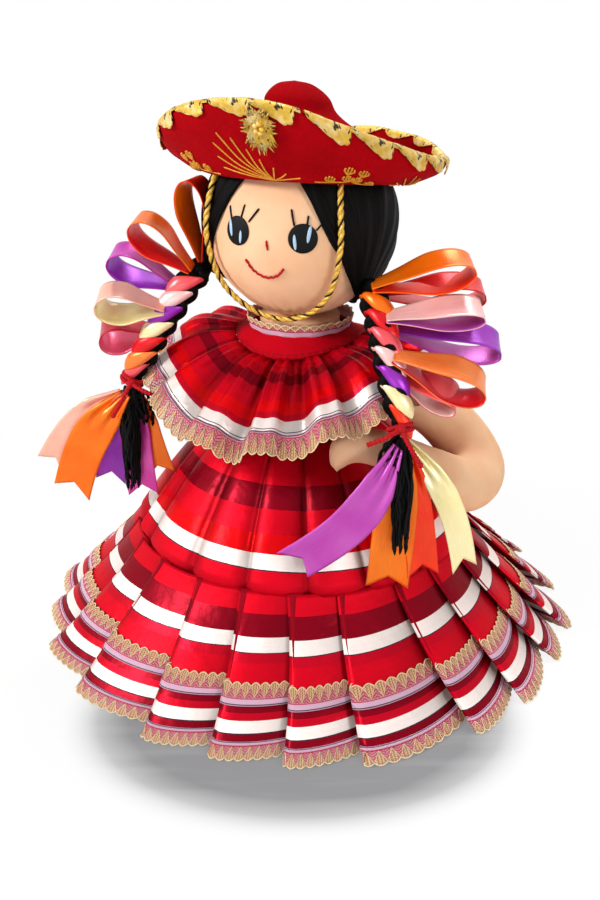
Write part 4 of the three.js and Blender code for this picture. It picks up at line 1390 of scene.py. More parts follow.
        bm = fresh()
        tube(bm, path, girth, 36, 20)
        leg = finish_mesh(bm, f"stuffed_leg_{side}", [SKIN], True)
        settle(leg, f"{side}_leg", "skin_cloth", f"leg_{side}")
        bm = fresh()
        bmesh.ops.create_uvsphere(bm, u_segments=40, v_segments=24, radius=1.0)
        for vert in bm.verts:
            pinch = 1 - 0.16 * ease(0.1, 0.9, vert.co.y)
            vert.co = Vector((hip + 13.5 * pinch * vert.co.x, 20 * vert.co.y - 6, 13 * vert.co.z + 2.6))
        whole = bm.verts[:] + bm.edges[:] + bm.faces[:]
        bmesh.ops.bisect_plane(bm, geom=whole, plane_co=(0, 0, 0.2), plane_no=(0, 0, 1), clear_inner=True)
        close_holes(bm)
        turns = [math.pi * k / 6 for k in range(7)]
        strap = [(hip + 11 * math.cos(a), -9 + 3 * math.cos(2 * a), 12.6 + 3.2 * math.sin(a)) for a in turns]
        strand(bm, strap, 1.4, BACKWARDS)
        shoe = finish_mesh(bm, f"felt_shoe_{side}", [SHOE_FELT], True)
        settle(shoe, f"{side}_leg", "black_shoe_felt", f"shoe_{side}")

    def _lens(self, bm: bmesh.types.BMesh, spot: tuple[float, float], size: tuple[float, float], lift: float,
              thick: float, lean: float = 0.0, finish: int = 0) -> None:
        """Adds a low oval of satin stitch that lies on the face.

        Args:
            bm: The mesh to add to.
            spot: Its middle on the face drawing.
            size: Width and height.
            lift: How far it stands off the skin.
            thick: Half its thickness.
            lean: Turn of the oval in degrees.
            finish: Number of the material slot.
        """
        made = bmesh.ops.create_uvsphere(bm, u_segments=40, v_segments=14, radius=1.0)
        cos, sin = math.cos(math.radians(lean)), math.sin(math.radians(lean))
        for vert in made["verts"]:
            across, along = vert.co.x * size[0] / 2, vert.co.y * size[1] / 2
            x = spot[0] + across * cos - along * sin
            z = spot[1] + across * sin + along * cos
            vert.co = self.on_face(x, z, lift + thick * vert.co.z)
        for face in {face for vert in made["verts"] for face in vert.link_faces}:
            face.material_index = finish

    def _eyes(self) -> None:
        """Round black eyes, each with two pale streaks of light."""
        streaks = {
            "right": (self.right_eye, ((-4.3, 1.4, 2.0, 9.6, 8.0), (2.4, -3.0, 1.7, 7.4, -4.0))),
            "left": (self.left_eye, ((-4.1, -1.9, 1.8, 8.6, 4.0), (3.3, 2.4, 2.0, 9.6, -9.0))),
        }
        for side, ((middle, level), rows) in streaks.items():
            bm = fresh()
            self._lens(bm, (middle, level), self.eye_size, 0.35, 0.75)
            for x, z, width, height, lean in rows:
                self._lens(bm, (middle + x, level + z), (width, height), 0.95, 0.35, lean, 1)
            eye = finish_mesh(bm, f"stitched_eye_{side}", [BLACK_THREAD, BLUE_THREAD], True)
            settle(eye, "doll", "black_thread", f"eye_{side}")

    def _lashes(self) -> None:
        """Three straight stitches over each eye."""
        rows = {
            self.right_eye: (
                ((-6.6, 13.2), (-4.4, 5.6)), ((4.2, 15.0), (2.2, 7.4)), ((13.8, 13.6), (7.2, 5.4)),
            ),
            self.left_eye: (
                ((-6.8, 16.2), (-4.4, 6.6)), ((2.6, 12.6), (2.2, 7.0)), ((12.2, 11.0), (6.8, 4.2)),
            ),
        }
        bm = fresh()
        for (middle, level), lashes in rows.items():
            for (x0, z0), (x1, z1) in lashes:
                spots = [(x0, z0), ((x0 + x1) / 2, (z0 + z1) / 2), (x1, z1)]
                strand(bm, [self.on_face(middle + x, level + z, 0.3) for x, z in spots], 0.6, UP)
        piece = finish_mesh(bm, "eyelashes", [BLACK_THREAD], True)
        settle(piece, "doll", "black_thread")

    def _nose_and_mouth(self) -> None:
        """A small red stitch, and a smile in back stitch."""
        bm = fresh()
        for x, top, foot in ((0.6, -0.7, -4.9), (1.0, -3.1, -6.5)):
            levels = ((top, 0.2), ((top + foot) / 2, 0.45), (foot, 0.2))
            strand(bm, [self.on_face(x, z, lift) for z, lift in levels], 0.62, SIDEWAYS)
        nose = finish_mesh(bm, "stitched_nose", [RED_THREAD], True)
        settle(nose, "doll", "red_thread", "nose_stitch")
        drawn = ((-13.6, -12.6), (-8.8, -19.6), (-1.8, -23.1), (5.2, -21.6), (9.7, -17.1))
        smile = Path([(x, 0, z) for x, z in drawn], UP)
        bm = fresh()
        count = 9
        for i in range(count):
            spots = []
            for k in range(4):
                spot = smile.at((i + 1.16 * k / 3) / (count + 0.16))
                spots.append(self.on_face(spot.x, spot.z + 0.25 * (k - 1.5), 0.2 + 0.45 * (k in (1, 2))))
            strand(bm, spots, 0.72, UP)
        mouth = finish_mesh(bm, "stitched_mouth", [RED_THREAD], True)
        settle(mouth, "doll", "red_thread", "mouth_stitch")


@dataclass
class Stuffing:
    """Cloth simulation that swells a stuffed piece."""

    voxel: float = 4.0
    pressure: float = 4.0
    frames: int = 14
    cap: float = 1.6

    def swell(self, piece: bpy.types.Object) -> None:
        """Replaces a piece's mesh by its simulated, capped and smoothed form.

        Args:
            piece: A closed mesh, slightly smaller than the stuffed form.
        """
        scene = bpy.context.scene
        remesh = piece.modifiers.new("voxels", "REMESH")
        remesh.mode = "VOXEL"
        remesh.voxel_size = self.voxel * MM
        self._apply(piece)
        start = [vert.co.copy() for vert in piece.data.vertices]
        cloth = piece.modifiers.new("cloth", "CLOTH")
        cloth.settings.use_pressure = True
        cloth.settings.uniform_pressure_force = self.pressure
        cloth.settings.effector_weights.gravity = 0.0
        cloth.settings.tension_stiffness = 25
        cloth.settings.compression_stiffness = 25
        cloth.collision_settings.use_collision = False
        cloth.point_cache.frame_end = self.frames
        for step in range(1, self.frames + 1):
            scene.frame_set(step)
        self._apply(piece)
        scene.frame_set(1)
        for vert, first in zip(piece.data.vertices, start):
            move = vert.co - first
            if move.length > self.cap * MM:
                vert.co = first + move.normalized() * (self.cap * MM)
        piece.data.shade_smooth()
        smooth(piece)

    @staticmethod
    def _apply(piece: bpy.types.Object) -> None:
        """Bakes the live modifiers into the mesh."""
        graph = bpy.context.evaluated_depsgraph_get()
        graph.update()
        baked = bpy.data.meshes.new_from_object(piece.evaluated_get(graph))
        finishes = list(piece.data.materials)
        piece.modifiers.clear()
        piece.data = baked
        if not baked.materials:
            for finish in finishes:
                baked.materials.append(finish)


@dataclass
class Hair:
    """Hair combed from a middle parting to the root of each braid."""

    head: Vector = field(default_factory=HEAD_MIDDLE.copy)
    radius: float = 60.3
    thickness: float = 2.4
    front: float = 54.0
    nape: float = 226.0

    def _strand(self, sign: int, across: float, along: float) -> Vector:
        """A point of one strand on the ball of the head.

        Args:
            sign: 1 for the doll's left.
            across: 0 at the face, 1 at the nape.
            along: 0 at the parting, 1 at the braid's root.

        Returns:
            The point.
        """
        tilt = math.radians(self.front + (self.nape - self.front) * across)
        part = Vector((0, -math.cos(tilt), math.sin(tilt)))
        root = Vector((0.7233, -0.3846, -0.5736)) if sign > 0 else Vector((0.8, -0.4255, -0.4226))
        straight = (part + root).normalized() * 1.15
        bend = Vector((0.45, -0.9, 0.25)).lerp(straight, ease(0.0, 0.32, across))
        way = part * (1 - along) ** 2 + bend * (2 * along * (1 - along)) + root * along ** 2
        way = Vector((sign * way.x, way.y, way.z)).normalized()
        lock = 0.55 * math.sin(FULL * (13 * across + 0.6 * along)) * math.sin(math.pi * min(1.0, along * 1.1))
        wisp = 0.5 * noise.noise(Vector((across * 42, along * 3, sign * 5.0)))
        reach = self.radius + lock + wisp + 4.0 * ease(0.8, 1.0, along)
        reach -= 1.6 * hump(along, 0.0, 0.035) + 1.1 * hump(across, 0.0, 0.02)
        return self.head + way * reach

    def build(self) -> None:
        """Makes both sides of the hair as one cap."""
        bm = fresh()
        for sign in (1, -1):
            half = fresh()
            weave(half, 150, 48, lambda u, v: self._strand(sign, u, v))
            face_out(half, self.head)
            part = bpy.data.meshes.new("half")
            half.to_mesh(part)
            half.free()
            bm.from_mesh(part)
            bpy.data.meshes.remove(part)
        bmesh.ops.remove_doubles(bm, verts=bm.verts[:], dist=0.01)
        hair = finish_mesh(bm, "combed_hair", [HAIR])
        thicken(hair, self.thickness)
        settle(hair, "doll", "black_yarn", "hair")


@dataclass
class Hat:
    """Felt sombrero with gold leaf trim, a gold flower, embroidery and a chin cord."""

    head: Vector = field(default_factory=HEAD_MIDDLE.copy)
    felt: float = 2.4
    seat: float = 60.9
    crown_top: float = 81.0
    tilt: float = -5.0
    roll: float = 1.0
    leaves: int = 20
    brim_root: float = 59.0
    brim_width: float = 27.0
    cord_diameter: float = 3.2
    outside: tuple[tuple[float, float], ...] = ((59, 27.16), (67, 29.5), (76, 36), (83, 42.5), (86, 49.5))

    def __post_init__(self) -> None:
        """Works out the hat's place on the head and its brim line."""
        roll = Matrix.Rotation(math.radians(self.roll), 4, "Y")
        tilt = Matrix.Rotation(math.radians(self.tilt), 4, "X")
        self.place = Matrix.Translation(self.head) @ (roll @ tilt)
        self.inside = self.place @ Vector((0, 0, 20))
        self.brim = Path([(r, 0, z) for r, z in self.outside], BACKWARDS, 80)

    def build(self) -> None:
        """Makes the cord first, then the felt and all that is sewn on it."""
        self._cord()
        self._felt()
        self._trim()
        self._flower()
        self._embroidery()

    def _seated(self, point: Vector) -> Vector:
        """Bends the brim, leans the crown and puts a point of the round hat on the head."""
        turn, reach = math.atan2(point.x, -point.y), math.hypot(point.x, point.y)
        out = min(1.0, max(0.0, (reach - self.brim_root) / self.brim_width))
        bend = 7.7 * math.cos(turn) + 10.5 * math.cos(2 * turn + math.radians(16))
        bend += 0.5 * math.sin(5 * turn + 1.0) + 0.35 * math.sin(9 * turn)
        lean = 0.24 * max(0.0, point.z - 50) * (1 - ease(28, 44, reach))
        return self.place @ (point + UP * (out * bend) - SIDEWAYS * lean)

    def on_brim(self, turn: float, share: float, lift: float = 0.0, past: float = 0.0) -> Vector:
        """A point on the outside of the brim.

        Args:
            turn: Degrees from the front.
            share: 0 where the brim leaves the head, 1 at the rim.
            lift: Distance out from the felt.
            past: Distance past the rim.

        Returns:
            The point.
        """
        spot, ahead, _, _ = self.brim.frame(min(1.0, max(0.0, share)))
        spot = spot + ahead * past + Vector((ahead.z, 0, -ahead.x)) * lift
        angle = math.radians(turn)
        return self._seated(Vector((spot.x * math.sin(angle), -spot.x * math.cos(angle), spot.z)))

    def _over_rim(self, turn: float, depth: float, lift: float) -> Vector:
        """A point on the trim that folds over the rim; depth is negative outside."""
        half = 0.55 * self.felt
        fold = math.pi * (min(1.0, max(-1.0, depth / 2)) + 1) / 2
        share = 1 - max(0.0, abs(depth) - 2) / self.brim.length
        reach = half + lift
        return self.on_brim(turn, share, reach * math.cos(fold) - half, reach * math.sin(fold))

    def _felt(self) -> None:
        """Crown and brim as one felt shell, turned from its outline."""
        seat = [(r, math.sqrt(self.seat ** 2 - r * r)) for r in (24, 32, 40, 46, 54)]
        top = self.crown_top
        crown = [(0.05, top), (10.5, top - 2), (19, top - 9), (22, top - 17)]
        over = [(r, z + 1.35 * self.felt) for r, z in seat[1:4]]
        inside = [(58, 29.56)] + [(r - 0.8 * self.felt, z + 0.8 * self.felt) for r, z in self.outside[1:]]
        hollow = [(19.5, top - 18), (16.6, top - 11), (7.6, top - 4.4), (0.05, top - self.felt)]
        outline = crown + over + inside + list(reversed(self.outside)) + list(reversed(seat)) + hollow
        path = Path([(r, 0, z) for r, z in outline], BACKWARDS, 170)
        bm = fresh()
        turned(bm, [Vector((max(0.0, point.x), 0, point.z)) for point in path.points], 112)
        bmesh.ops.remove_doubles(bm, verts=bm.verts[:], dist=0.06)
        for vert in bm.verts:
            vert.co = self._seated(vert.co)
        hat = finish_mesh(bm, "felt_sombrero", [HAT_FELT], True)
        settle(hat, "hat", "red_felt", "sombrero")

    def _trim(self) -> None:
        """Gold leaves folded over the rim all the way round, each a fan of crimped fingers."""
        bm = fresh()
        step = 360 / self.leaves
        for i in range(self.leaves):
            start = i * step + 1.2 * jitter(i, 3.0)
            deep = 6.9 * (1 + 0.12 * jitter(i, 1.0))
            lift = 0.8 + 0.35 * (i % 2)

            def place(u: float, v: float) -> Vector:
                """A point of this leaf, from its outer edge over the rim to its inner edge."""
                finger = abs(math.sin(5 * math.pi * u))
                fingers = 1 - 0.1 * (1 - finger)
                lobe = max(0.0, math.sin(math.pi * min(1.0, u / 0.86) ** 1.5)) ** 0.7
                outer = 1.5 + deep * fingers * lobe
                inner = 1.5 + 0.6 * deep * fingers * lobe
                depth = -outer + (outer + inner) * v
                slant = 3.4 * max(0.0, -depth) / deep
                crimp = 0.4 * finger * min(1.0, abs(depth) / 3)
                raised = lift + crimp + 0.7 * abs(depth) / deep
                return self._over_rim(start + step * 1.02 * u + slant, depth, raised)

            weave(bm, 30, 14, place)
        face_out(bm, self.inside)
        trim = finish_mesh(bm, "gold_rim_leaves", [GOLD_TRIM])
        thicken(trim, 0.5, 0.0)
        settle(trim, "hat", "gold_braid", "rim_trim")

    def _flower(self) -> None:
        """Gold flower of toothed leaves on the front of the brim."""
        bm = fresh()
        middle, low = 3.0, 9.8
        petals = [(118, 10.5, 6.4), (62, 10.0, 6.4), (8, 10.0, 5.8), (-40, 11.5, 6.4), (-88, 11.5, 6.4),
                  (-134, 11.0, 6.4), (176, 10.0, 5.8)]
        for i, (lean, length, width) in enumerate(petals):
            cos, sin = math.cos(math.radians(lean)), math.sin(math.radians(lean))

            def place(u: float, v: float) -> Vector:
                """A point of this petal on the brim."""
                teeth = 1 - 0.3 * abs(math.sin(3 * math.pi * v)) * ease(0.4, 1.0, u)
                reach = length * u * teeth
                half = width * (v - 0.5) * (0.25 + 0.75 * math.sin(math.pi * min(0.8, 0.12 + 0.75 * u)))
                x, z = reach * cos - half * sin, reach * sin + half * cos
                cup = 2.0 + 0.5 * (i % 2) + 1.6 * u * u + 0.35 * math.sin(7 * FULL * v)
                share = 1 - (low - z) / self.brim.length
                return self.on_brim(middle + x / 1.45, share, cup, max(0.0, z - low))

            weave(bm, 12, 18, place)
        face_out(bm, self.inside)
        for i in range(5):
            angle = FULL * i / 5
            share = 1 - (low - 1.8 * math.sin(angle)) / self.brim.length
            spot = self.on_brim(middle + 1.3 * math.cos(angle), share, 3.4)
            made = bmesh.ops.create_icosphere(bm, subdivisions=2, radius=1.2)
            for vert in made["verts"]:
                vert.co = spot + vert.co * (1 + 0.2 * noise.noise(vert.co * 1.3 + Vector((i, 0, 0))))
        flower = finish_mesh(bm, "gold_flower", [GOLD_TRIM])
        thicken(flower, 0.5, 0.0)
        settle(flower, "hat", "gold_braid", "hat_flower")

    def _spray(
        self, bm: bmesh.types.BMesh, knots: Sequence[tuple[float, float]], radius: float = 0.5
    ) -> None:
        """One raised embroidery thread through places on the brim."""
        path = Path([self.on_brim(turn, share, 0.35) for turn, share in knots], UP, 40)
        beads = max(4, int(path.length / 1.6))

        def girth(share: float) -> float:
            """Small stitches along the thread."""
            return radius * (0.72 + 0.28 * abs(math.sin(math.pi * beads * share))) * blunt(1.0, 0.05)(share)

        tube(bm, path, girth, beads * 4, 6)

    def _sprig(self, bm: bmesh.types.BMesh, turn: float, sign: int) -> None:
        """A stem along the foot of the brim, with small stitched leaves."""
        stem = [(turn, 0.06), (turn + sign * 9, 0.1), (turn + sign * 16, 0.17), (turn + sign * 21, 0.34)]
        self._spray(bm, stem)
        for shift, share in ((21, 0.34), (15, 0.17), (7, 0.1)):
            for k in range(4):
                bend = (k - 1.5) * 1.5
                tip = (turn + sign * (shift + 0.8 * bend), share + 0.17 - 0.02 * abs(bend))
                middle = (turn + sign * (shift + bend), share + 0.08)
                self._spray(bm, [(turn + sign * shift, share), middle, tip], 0.6)

    def _embroidery(self) -> None:
        """Fans of gold rays and leafy sprigs, on the front, the back and the sides."""
        bm = fresh()
        tips = [(-27, 0.2), (-27, 0.36), (-26, 0.54), (-22, 0.66), (-16, 0.6), (-10, 0.46), (-5, 0.34),
                (1, 0.24), (7, 0.17), (14, 0.12)]
        foot = 0.03
        for middle in (5, 95, 185, 275):
            for lean, share in tips:
                bend = (middle + 0.62 * lean, foot + 0.4 * share)
                self._spray(bm, [(middle, foot), bend, (middle + lean, share)])
            self._sprig(bm, middle + 21, 1)
            self._sprig(bm, middle - 34, -1)
        stitches = finish_mesh(bm, "gold_embroidery", [GOLD_THREAD], True)
        settle(stitches, "hat", "gold_braid")

    def _cord(self) -> None:
        """Chin cord of two gold plies and a black one, from the hat round under the chin."""
        half = [(40, -40, 34), (39, -43, 18), (41, -46.5, -3), (34, -42, -31), (18, -36, -48)]
        ways = half + [(0, -33, -53)] + [(-x, y, z) for x, y, z in reversed(half)]
        reach = self.seat + self.cord_diameter / 2 + 0.3
        path = Path([self.head + Vector(way).normalized() * reach for way in ways], -BACKWARDS, 200)
        bm = fresh()
        twists = path.length / 11.0
        plies = ((0.0, 1.15, 0.75, 0), (0.42, 1.15, 0.75, 0), (0.71, 0.6, 1.0, 1))
        for phase, size, off, finish in plies:
            spots = [path.ring(k / 240, FULL * twists * k / 240 + FULL * phase, off) for k in range(241)]
            line = Path(spots, -BACKWARDS, 241)
            tube(bm, line, blunt(size, 0.006), 320, 7, finish)
        cord = finish_mesh(bm, "chin_cord_twist", [CORD_GOLD, CORD_BLACK], True)
        settle(cord, "hat", "gold_braid", "chin_cord")
        route = [path.at(k / 60) * MM for k in range(61)]
        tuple(route[0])


@dataclass(frozen=True)
class LoopRow:
    """One ribbon loop: where it leaves the braid, how far forward, its way, size, roll and two colours."""

    share: float
    depth: float
    angle: float
    length: float
    height: float
    roll: float
    outer: str
    inner: str
    slot: str


@dataclass(frozen=True)
class TailRow:
    """One ribbon tail: its lean, depth and tilt under the tie, its length, width, bow, curl and colours."""

    lean: float
    depth: float
    tilt: float
    length: float
    width: float
    bow: float
    curl: float
    front: str
    back: str
    slot: str


@dataclass
class Braid:
    """One braid with its plait, tie, tassel, ribbon loops and tails."""

    side: str
    sign: int
    loops: tuple[LoopRow, ...]
    tails: tuple[TailRow, ...]
    wraps: tuple[str, ...]
    root_drop: float
    tie_azimuth: float
    tie_height: float
    head: Vector = field(default_factory=HEAD_MIDDLE.copy)
    root_azimuth: float = 62.0
    root_reach: float = 60.6
    tie_reach: float = 110.0
    ribbon: float = 20.0
    plait: float = 9.0
    wound: float = 0.8

    def __post_init__(self) -> None:
        """Works out the braid's line and directions."""
        azimuth = math.radians(self.root_azimuth) * self.sign
        tied = math.radians(self.tie_azimuth) * self.sign
        drop = math.radians(self.root_drop)
        away = Vector((math.sin(azimuth), -math.cos(azimuth), 0))
        way = away * math.cos(drop) - UP * math.sin(drop)
        root = self.head + way * self.root_reach
        elbow = root + way * 9
        self.tie = Vector((math.sin(tied), -math.cos(tied), 0)) * self.tie_reach + UP * self.tie_height
        sag = self.tie.lerp(elbow, 0.5) + VIEWER * 4 + UP * 4
        self.path = Path([root, elbow, sag, self.tie], VIEWER, 160)
        self.outwards = Vector((math.cos(FACING), math.sin(FACING), 0)) * self.sign
        self.body = f"braid_{self.side}_side"

    def build(self) -> None:
        """Makes all of the braid's pieces."""
        self._plait()
        self._tie()
        self._tassel()
        for i, row in enumerate(self.loops):
            self._loop(i + 1, row)
        for i, row in enumerate(self.tails):
            self._tail(i + 1, row)

    def _girth(self, share: float) -> float:
        """Relative half width of the plait along it."""
        return between([(0, 0.55), (0.06, 0.9), (0.15, 1), (0.78, 0.92), (0.93, 0.5), (1, 0.46)], share)

    def _facing(self, share: float) -> tuple[Vector, Vector, Vector]:
        """The braid's middle at a share, the way along it and the way across it to the viewer."""
        middle, ahead, _, _ = self.path.frame(share)
        return middle, ahead, (VIEWER - ahead * VIEWER.dot(ahead)).normalized()

    def _plait(self) -> None:
        """Three black strands plaited, with ribbons wound round them."""
        names = sorted(set(self.wraps))
        finishes: list[Finish] = [HANK] + [SATINS[name] for name in names]
        bm = fresh()
        cycles = len(self.wraps) / 3
        top = 0.1
        for k in range(3):
            def place(u: float, v: float) -> Vector:
                """A point round this strand."""
                phase = FULL * (cycles * max(0.0, u - top) / (1 - top) + k / 3)
                wide = self._girth(u)
                size = wide * min(1.0, 14 * u + 0.02) * min(1.0, 30 * (1 - u) + 0.02)
                point, _, side, over = self.path.frame(u)
                point += over * (4.4 * wide * math.sin(phase)) + side * (2.2 * wide * math.sin(2 * phase))
                turn = FULL * v
                return point + over * (5.0 * size * math.cos(turn)) + side * (4.0 * size * math.sin(turn))

            weave(bm, 132, 14, place)
        for i, name in enumerate(self.wraps):
            share = 0.14 + self.wound * (i + 0.5) / len(self.wraps)
            self._wrap(bm, share, 1 + names.index(name))
        plait = finish_mesh(bm, f"plait_{self.side}", finishes, True)
        settle(plait, self.body, "black_yarn", f"braid_{self.side}")

    def _wrap(self, bm: bmesh.types.BMesh, share: float, finish: int) -> None:
        """One turn of ribbon round the plait, broad in front and narrow on the inner side."""
        middle, ahead, front = self._facing(share)
        across = ahead.cross(front)
        across = across if across.dot(self.outwards) > 0 else -across
        wide = self._girth(share)
        pitch = self.wound * self.path.length / len(self.wraps)

        def place(u: float, v: float) -> Vector:
            """A point of the ribbon, round the plait and round the ribbon's own section."""
            turn = FULL * u
            edge, skin = math.cos(FULL * v), math.sin(FULL * v)
            half = pitch * (0.12 + 0.5 * max(0.0, math.cos(turn - math.radians(38))) ** 0.8)
            out = 1.7 * (1 - edge * edge) * half / pitch + 0.5 * skin - 0.6 * edge
            reach = (9.2 if turn < math.pi else 6.8) * wide + out
            spot = front * math.cos(turn) * (6.6 * wide + out) + across * math.sin(turn) * reach
            return middle + spot + ahead * (0.72 * pitch * math.sin(turn) + half * edge)

        weave(bm, 48, 16, place, finish)

    def _tie(self) -> None:
        """Red twisted cord wound twice round the end, with a knot and two loose ends."""
        bm = fresh()
        middle, ahead, front = self._facing(0.955)
        cross = ahead.cross(front)
        for shift in (-1.5, 1.4):
            spots = []
            for i in range(25):
                turn = FULL * i / 24
                off = front * math.cos(turn) + cross * math.sin(turn)
                spots.append(middle + ahead * (shift + 0.4 * math.sin(turn)) + off * 6.6)
            tube(bm, Path(spots, ahead, 96), lambda u: 1.45 * (1 + 0.12 * math.sin(26 * FULL * u)), 200, 8)
        knot = middle + front * 7.6
        made = bmesh.ops.create_icosphere(bm, subdivisions=3, radius=2.9)
        for vert in made["verts"]:
            vert.co = knot + vert.co * (1 + 0.16 * math.sin(vert.co.x * 2.2) * math.cos(vert.co.z * 1.7))
        for lean, length in ((-68, 21), (30, 25)):
            loose = self.outwards * math.sin(math.radians(lean)) - UP * math.cos(math.radians(lean))
            spots = [knot, knot + loose * (0.4 * length) + VIEWER * 5, knot + loose * length + VIEWER * 5.5]
            path = Path(spots, UP, 60)
            twist = 0.9 * length

            def girth(share: float) -> float:
                """Twisted cord that frays a little at its end."""
                frayed = blunt(1.35, 0.06)(share) * (1 + 0.3 * ease(0.85, 1, share))
                return frayed * (1 + 0.14 * math.sin(twist * FULL * 0.5 * share))

            tube(bm, path, girth, 70, 8)
        tie = finish_mesh(bm, f"red_tie_{self.side}", [RED_THREAD], True)
        settle(tie, self.body, "red_thread", f"tie_{self.side}")

    def _tassel(self) -> None:
        """Loose ends of yarn under the tie, each finished with a small knot."""
        bm = fresh()
        top = self.tie - UP * 0.5
        core = Path([top, top + VIEWER * 9 - UP * 27, top + VIEWER * 14 - UP * 68], self.outwards, 60)
        aside = VIEWER * 6 - self.outwards * 8
        stray = Path([top, top + aside - UP * 12, top + aside * 1.2 - UP * 26], self.outwards, 60)
        count = 84
        for i in range(count):
            angle = FULL * (i * 0.618)
            ring = math.sqrt((i + 0.5) / count)
            length = 0.8 + 0.22 * jitter(i, 1.0)
            line = stray if i % 4 == 0 else core
            spots = []
            for k in range(8):
                share = k / 7
                spread = ring * between([(0, 3.6), (0.4, 7.0), (0.75, 6.0), (1, 4.6)], share)
                wave = angle + 0.5 * math.sin(3.0 * share + i) + 0.35 * jitter(i, k)
                spots.append(line.ring(min(1.0, share * length), wave, spread))
            path = Path(spots, self.outwards, 40)
            size = 0.62 + 0.1 * jitter(i, 5.0)

            def girth(share: float) -> float:
                """Yarn with a small knot near its end."""
                return size * (1 + 0.9 * hump(share, 0.94, 0.02)) * blunt(1.0, 0.02)(share)

            tube(bm, path, girth, 30, 5)
        tassel = finish_mesh(bm, f"yarn_tassel_{self.side}", [TASSEL], True)
        settle(tassel, self.body, "black_yarn", f"tassel_{self.side}")

    def _loop(self, number: int, row: LoopRow) -> None:
        """A double ribbon folded out of the braid and back."""
        near = 0.5 * self.plait
        half = [(0, 0.08), (0.3, 0.26), (0.62, 0.48), (0.85, 0.42), (0.97, 0.2)]
        over = [(near + x * row.length, y * row.height, 0) for x, y in half]
        under = [(near + x * row.length, -y * row.height, 0) for x, y in reversed(half)]
        outline = Path(over + [(near + row.length, 0, 0)] + under, UP, 120)
        angle = math.radians(row.angle)
        way = self.outwards * math.cos(angle) + UP * math.sin(angle)
        across = VIEWER.cross(way)
        base = self.path.at(row.share) + VIEWER * row.depth
        roll = math.radians(self.sign * row.roll)

        def place(u: float, v: float) -> Vector:
            """A point of the ribbon: u along it, v across its width."""
            spot = outline.at(u)
            pinch = 0.55 + 0.45 * ease(0.0, 0.3, min(u, 1 - u))
            wide = (v - 0.5) * self.ribbon * pinch
            curl = 0.7 * math.sin(math.pi * u) * (2 * v - 1) ** 2
            rise = spot.y + curl * (1 if u < 0.5 else -1)
            turn = roll * (1 + 0.35 * math.sin(FULL * u))
            y = rise * math.cos(turn) - wide * math.sin(turn)
            z = rise * math.sin(turn) + wide * math.cos(turn)
            return base + way * spot.x + across * y + VIEWER * z

        bm = fresh()
        weave(bm, 64, 10, place)
        face_out(bm, base + way * (near + 0.62 * row.length))
        area = area_of(bm)
        loop = finish_mesh(bm, f"ribbon_loop_{self.side}_{number}", [SATINS[row.outer], SATINS[row.inner]])
        thicken(loop, 0.6, -1.0, 1)
        settle(loop, self.body, row.slot, f"loop_{self.side}_{number}")

    def _tail(self, number: int, row: TailRow) -> None:
        """A ribbon end under the tie, cut to a swallowtail."""
        lean = math.radians(row.lean)
        way = self.outwards * math.sin(lean) - UP * math.cos(lean) + VIEWER * math.sin(math.radians(row.tilt))
        way.normalize()
        start = self.tie + VIEWER * row.depth + way * 4.5
        across = way.cross(VIEWER).normalized()
        front = across.cross(way).normalized()
        aside = (self.outwards - way * self.outwards.dot(way)).normalized()
        full = row.length + 3.5

        def place(u: float, v: float) -> Vector:
            """A point of the ribbon: u across it, v up from its cut end."""
            side = 2 * u - 1
            down = (1 - v) * (full - 7.0 * (1 - abs(side)) * ease(0.6, 0.0, v))
            share = down / full
            half = row.width * between([(0, 3.2), (0.1, 5.6), (0.26, 9.6), (0.42, 11), (1, 11)], share)
            bow = aside * (row.bow * math.sin(math.pi * share))
            wave = row.curl * math.sin(math.pi * share) + 0.9 * math.sin(5 * share + number)
            gutter = 2.2 * (1 - ease(0.05, 0.5, share)) * math.cos(2.5 * math.pi * side)
            lift = wave + 0.8 * gutter + 0.5 * side * side
            return start + bow + way * down + across * (side * half) + front * lift

        bm = fresh()
        weave(bm, 14, 44, place)
        face_out(bm, start - VIEWER * 200)
        area = area_of(bm)
        tail = finish_mesh(bm, f"ribbon_tail_{self.side}_{number}", [SATINS[row.front], SATINS[row.back]])
        self._turn_map(tail)
        thicken(tail, 0.5, 0.0, 1)
        settle(tail, self.body, row.slot, f"tail_{self.side}_{number}")
        flat = (1.1 * row.width * self.ribbon * MM, full * MM)
        area = min(area, 0.999 * flat[0] * flat[1])

    @staticmethod
    def _turn_map(piece: bpy.types.Object) -> None:
        """Swaps the two map directions, so that the threads run along the ribbon."""
        for corner in piece.data.uv_layers[0].data:
            corner.uv = (corner.uv[1], corner.uv[0])


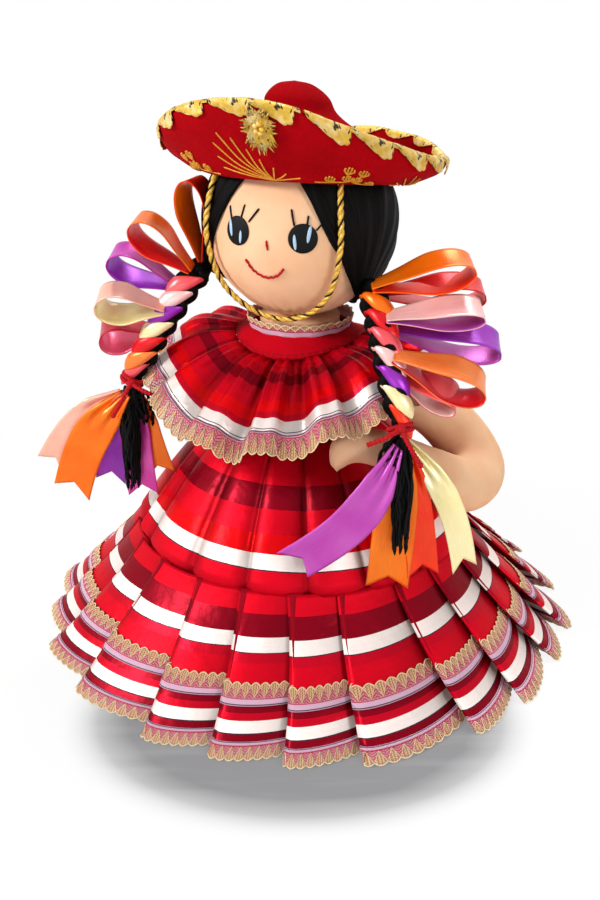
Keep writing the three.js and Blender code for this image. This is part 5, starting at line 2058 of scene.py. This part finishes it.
LEFT_BRAID = Braid(
    "left", 1,
    (
        LoopRow(0.02, 10, 12, 60, 18, 13, "orange", "red_orange", "orange_ribbon"),
        LoopRow(0.12, -4, 1, 62, 16, 13, "red", "salmon", "salmon_ribbon"),
        LoopRow(0.24, 9, 3, 56, 12, 17, "blush", "orchid", "mauve_ribbon"),
        LoopRow(0.36, -8, -10, 68, 17, 20, "purple", "orchid", "purple_ribbon"),
        LoopRow(0.47, 9, -22, 58, 20, 18, "tangerine", "red", "red_ribbon"),
        LoopRow(0.62, -3, -26, 40, 13, 26, "salmon", "blush", "salmon_ribbon"),
    ),
    (
        TailRow(-42, 5.2, 12, 88, 1.1, 9.0, 3.0, "orchid", "orchid", "purple_ribbon"),
        TailRow(-4, -3.5, 8.5, 86, 1.15, 1.0, 2.0, "orange", "orange", "orange_ribbon"),
        TailRow(10, -5.2, 9.5, 80, 0.85, 2.0, 1.0, "red_orange", "red_orange", "red_ribbon"),
        TailRow(26, -7, 10.5, 84, 0.7, 8.0, 2.5, "cream", "cream", "cream_ribbon"),
    ),
    ("orange", "red", "salmon", "blush", "purple", "cream", "red_orange"),
    28.0, 52.0, 164.0,
)

RIGHT_BRAID = Braid(
    "right", -1,
    (
        LoopRow(0.05, 0, 84, 50, 17, 22, "red_orange", "orange", "red_ribbon"),
        LoopRow(0.1, 6, 42, 45, 18, 15, "orange", "red", "orange_ribbon"),
        LoopRow(0.26, -6, 26, 45, 18, 18, "magenta", "purple", "magenta_ribbon"),
        LoopRow(0.38, 6, 7, 42, 19, 21, "peach", "cream", "peach_ribbon"),
        LoopRow(0.57, -4, -6, 33, 18, 26, "crimson", "pink", "purple_ribbon"),
    ),
    (
        TailRow(30, 6.2, 4, 74, 1.15, 6.0, 2.0, "orange", "orange", "orange_ribbon"),
        TailRow(45, 4.9, 3, 68, 1.0, 6.0, 2.0, "peach", "peach", "salmon_ribbon"),
        TailRow(-4, -3.5, 6.5, 68, 0.9, 1.0, 1.5, "rose", "rose", "magenta_ribbon"),
        TailRow(-15, -7, 7.2, 58, 0.9, 1.0, 1.0, "orange", "red_orange", "red_ribbon"),
        TailRow(14, -5.2, 6, 62, 0.9, 2.0, 1.5, "purple", "purple", "purple_ribbon"),
    ),
    ("salmon", "blush", "purple", "cream", "red", "tangerine", "salmon"),
    25.0, 62.0, 168.0,
)


def main() -> None:
    """Builds the studio, then the doll from its cords outwards."""
    logging.basicConfig(level=logging.INFO, format="%(message)s")
    Studio().build()
    Hat().build()
    Body().build()
    Hair().build()
    Dress().build()
    LEFT_BRAID.build()
    RIGHT_BRAID.build()


if __name__ == "__main__":
    main()
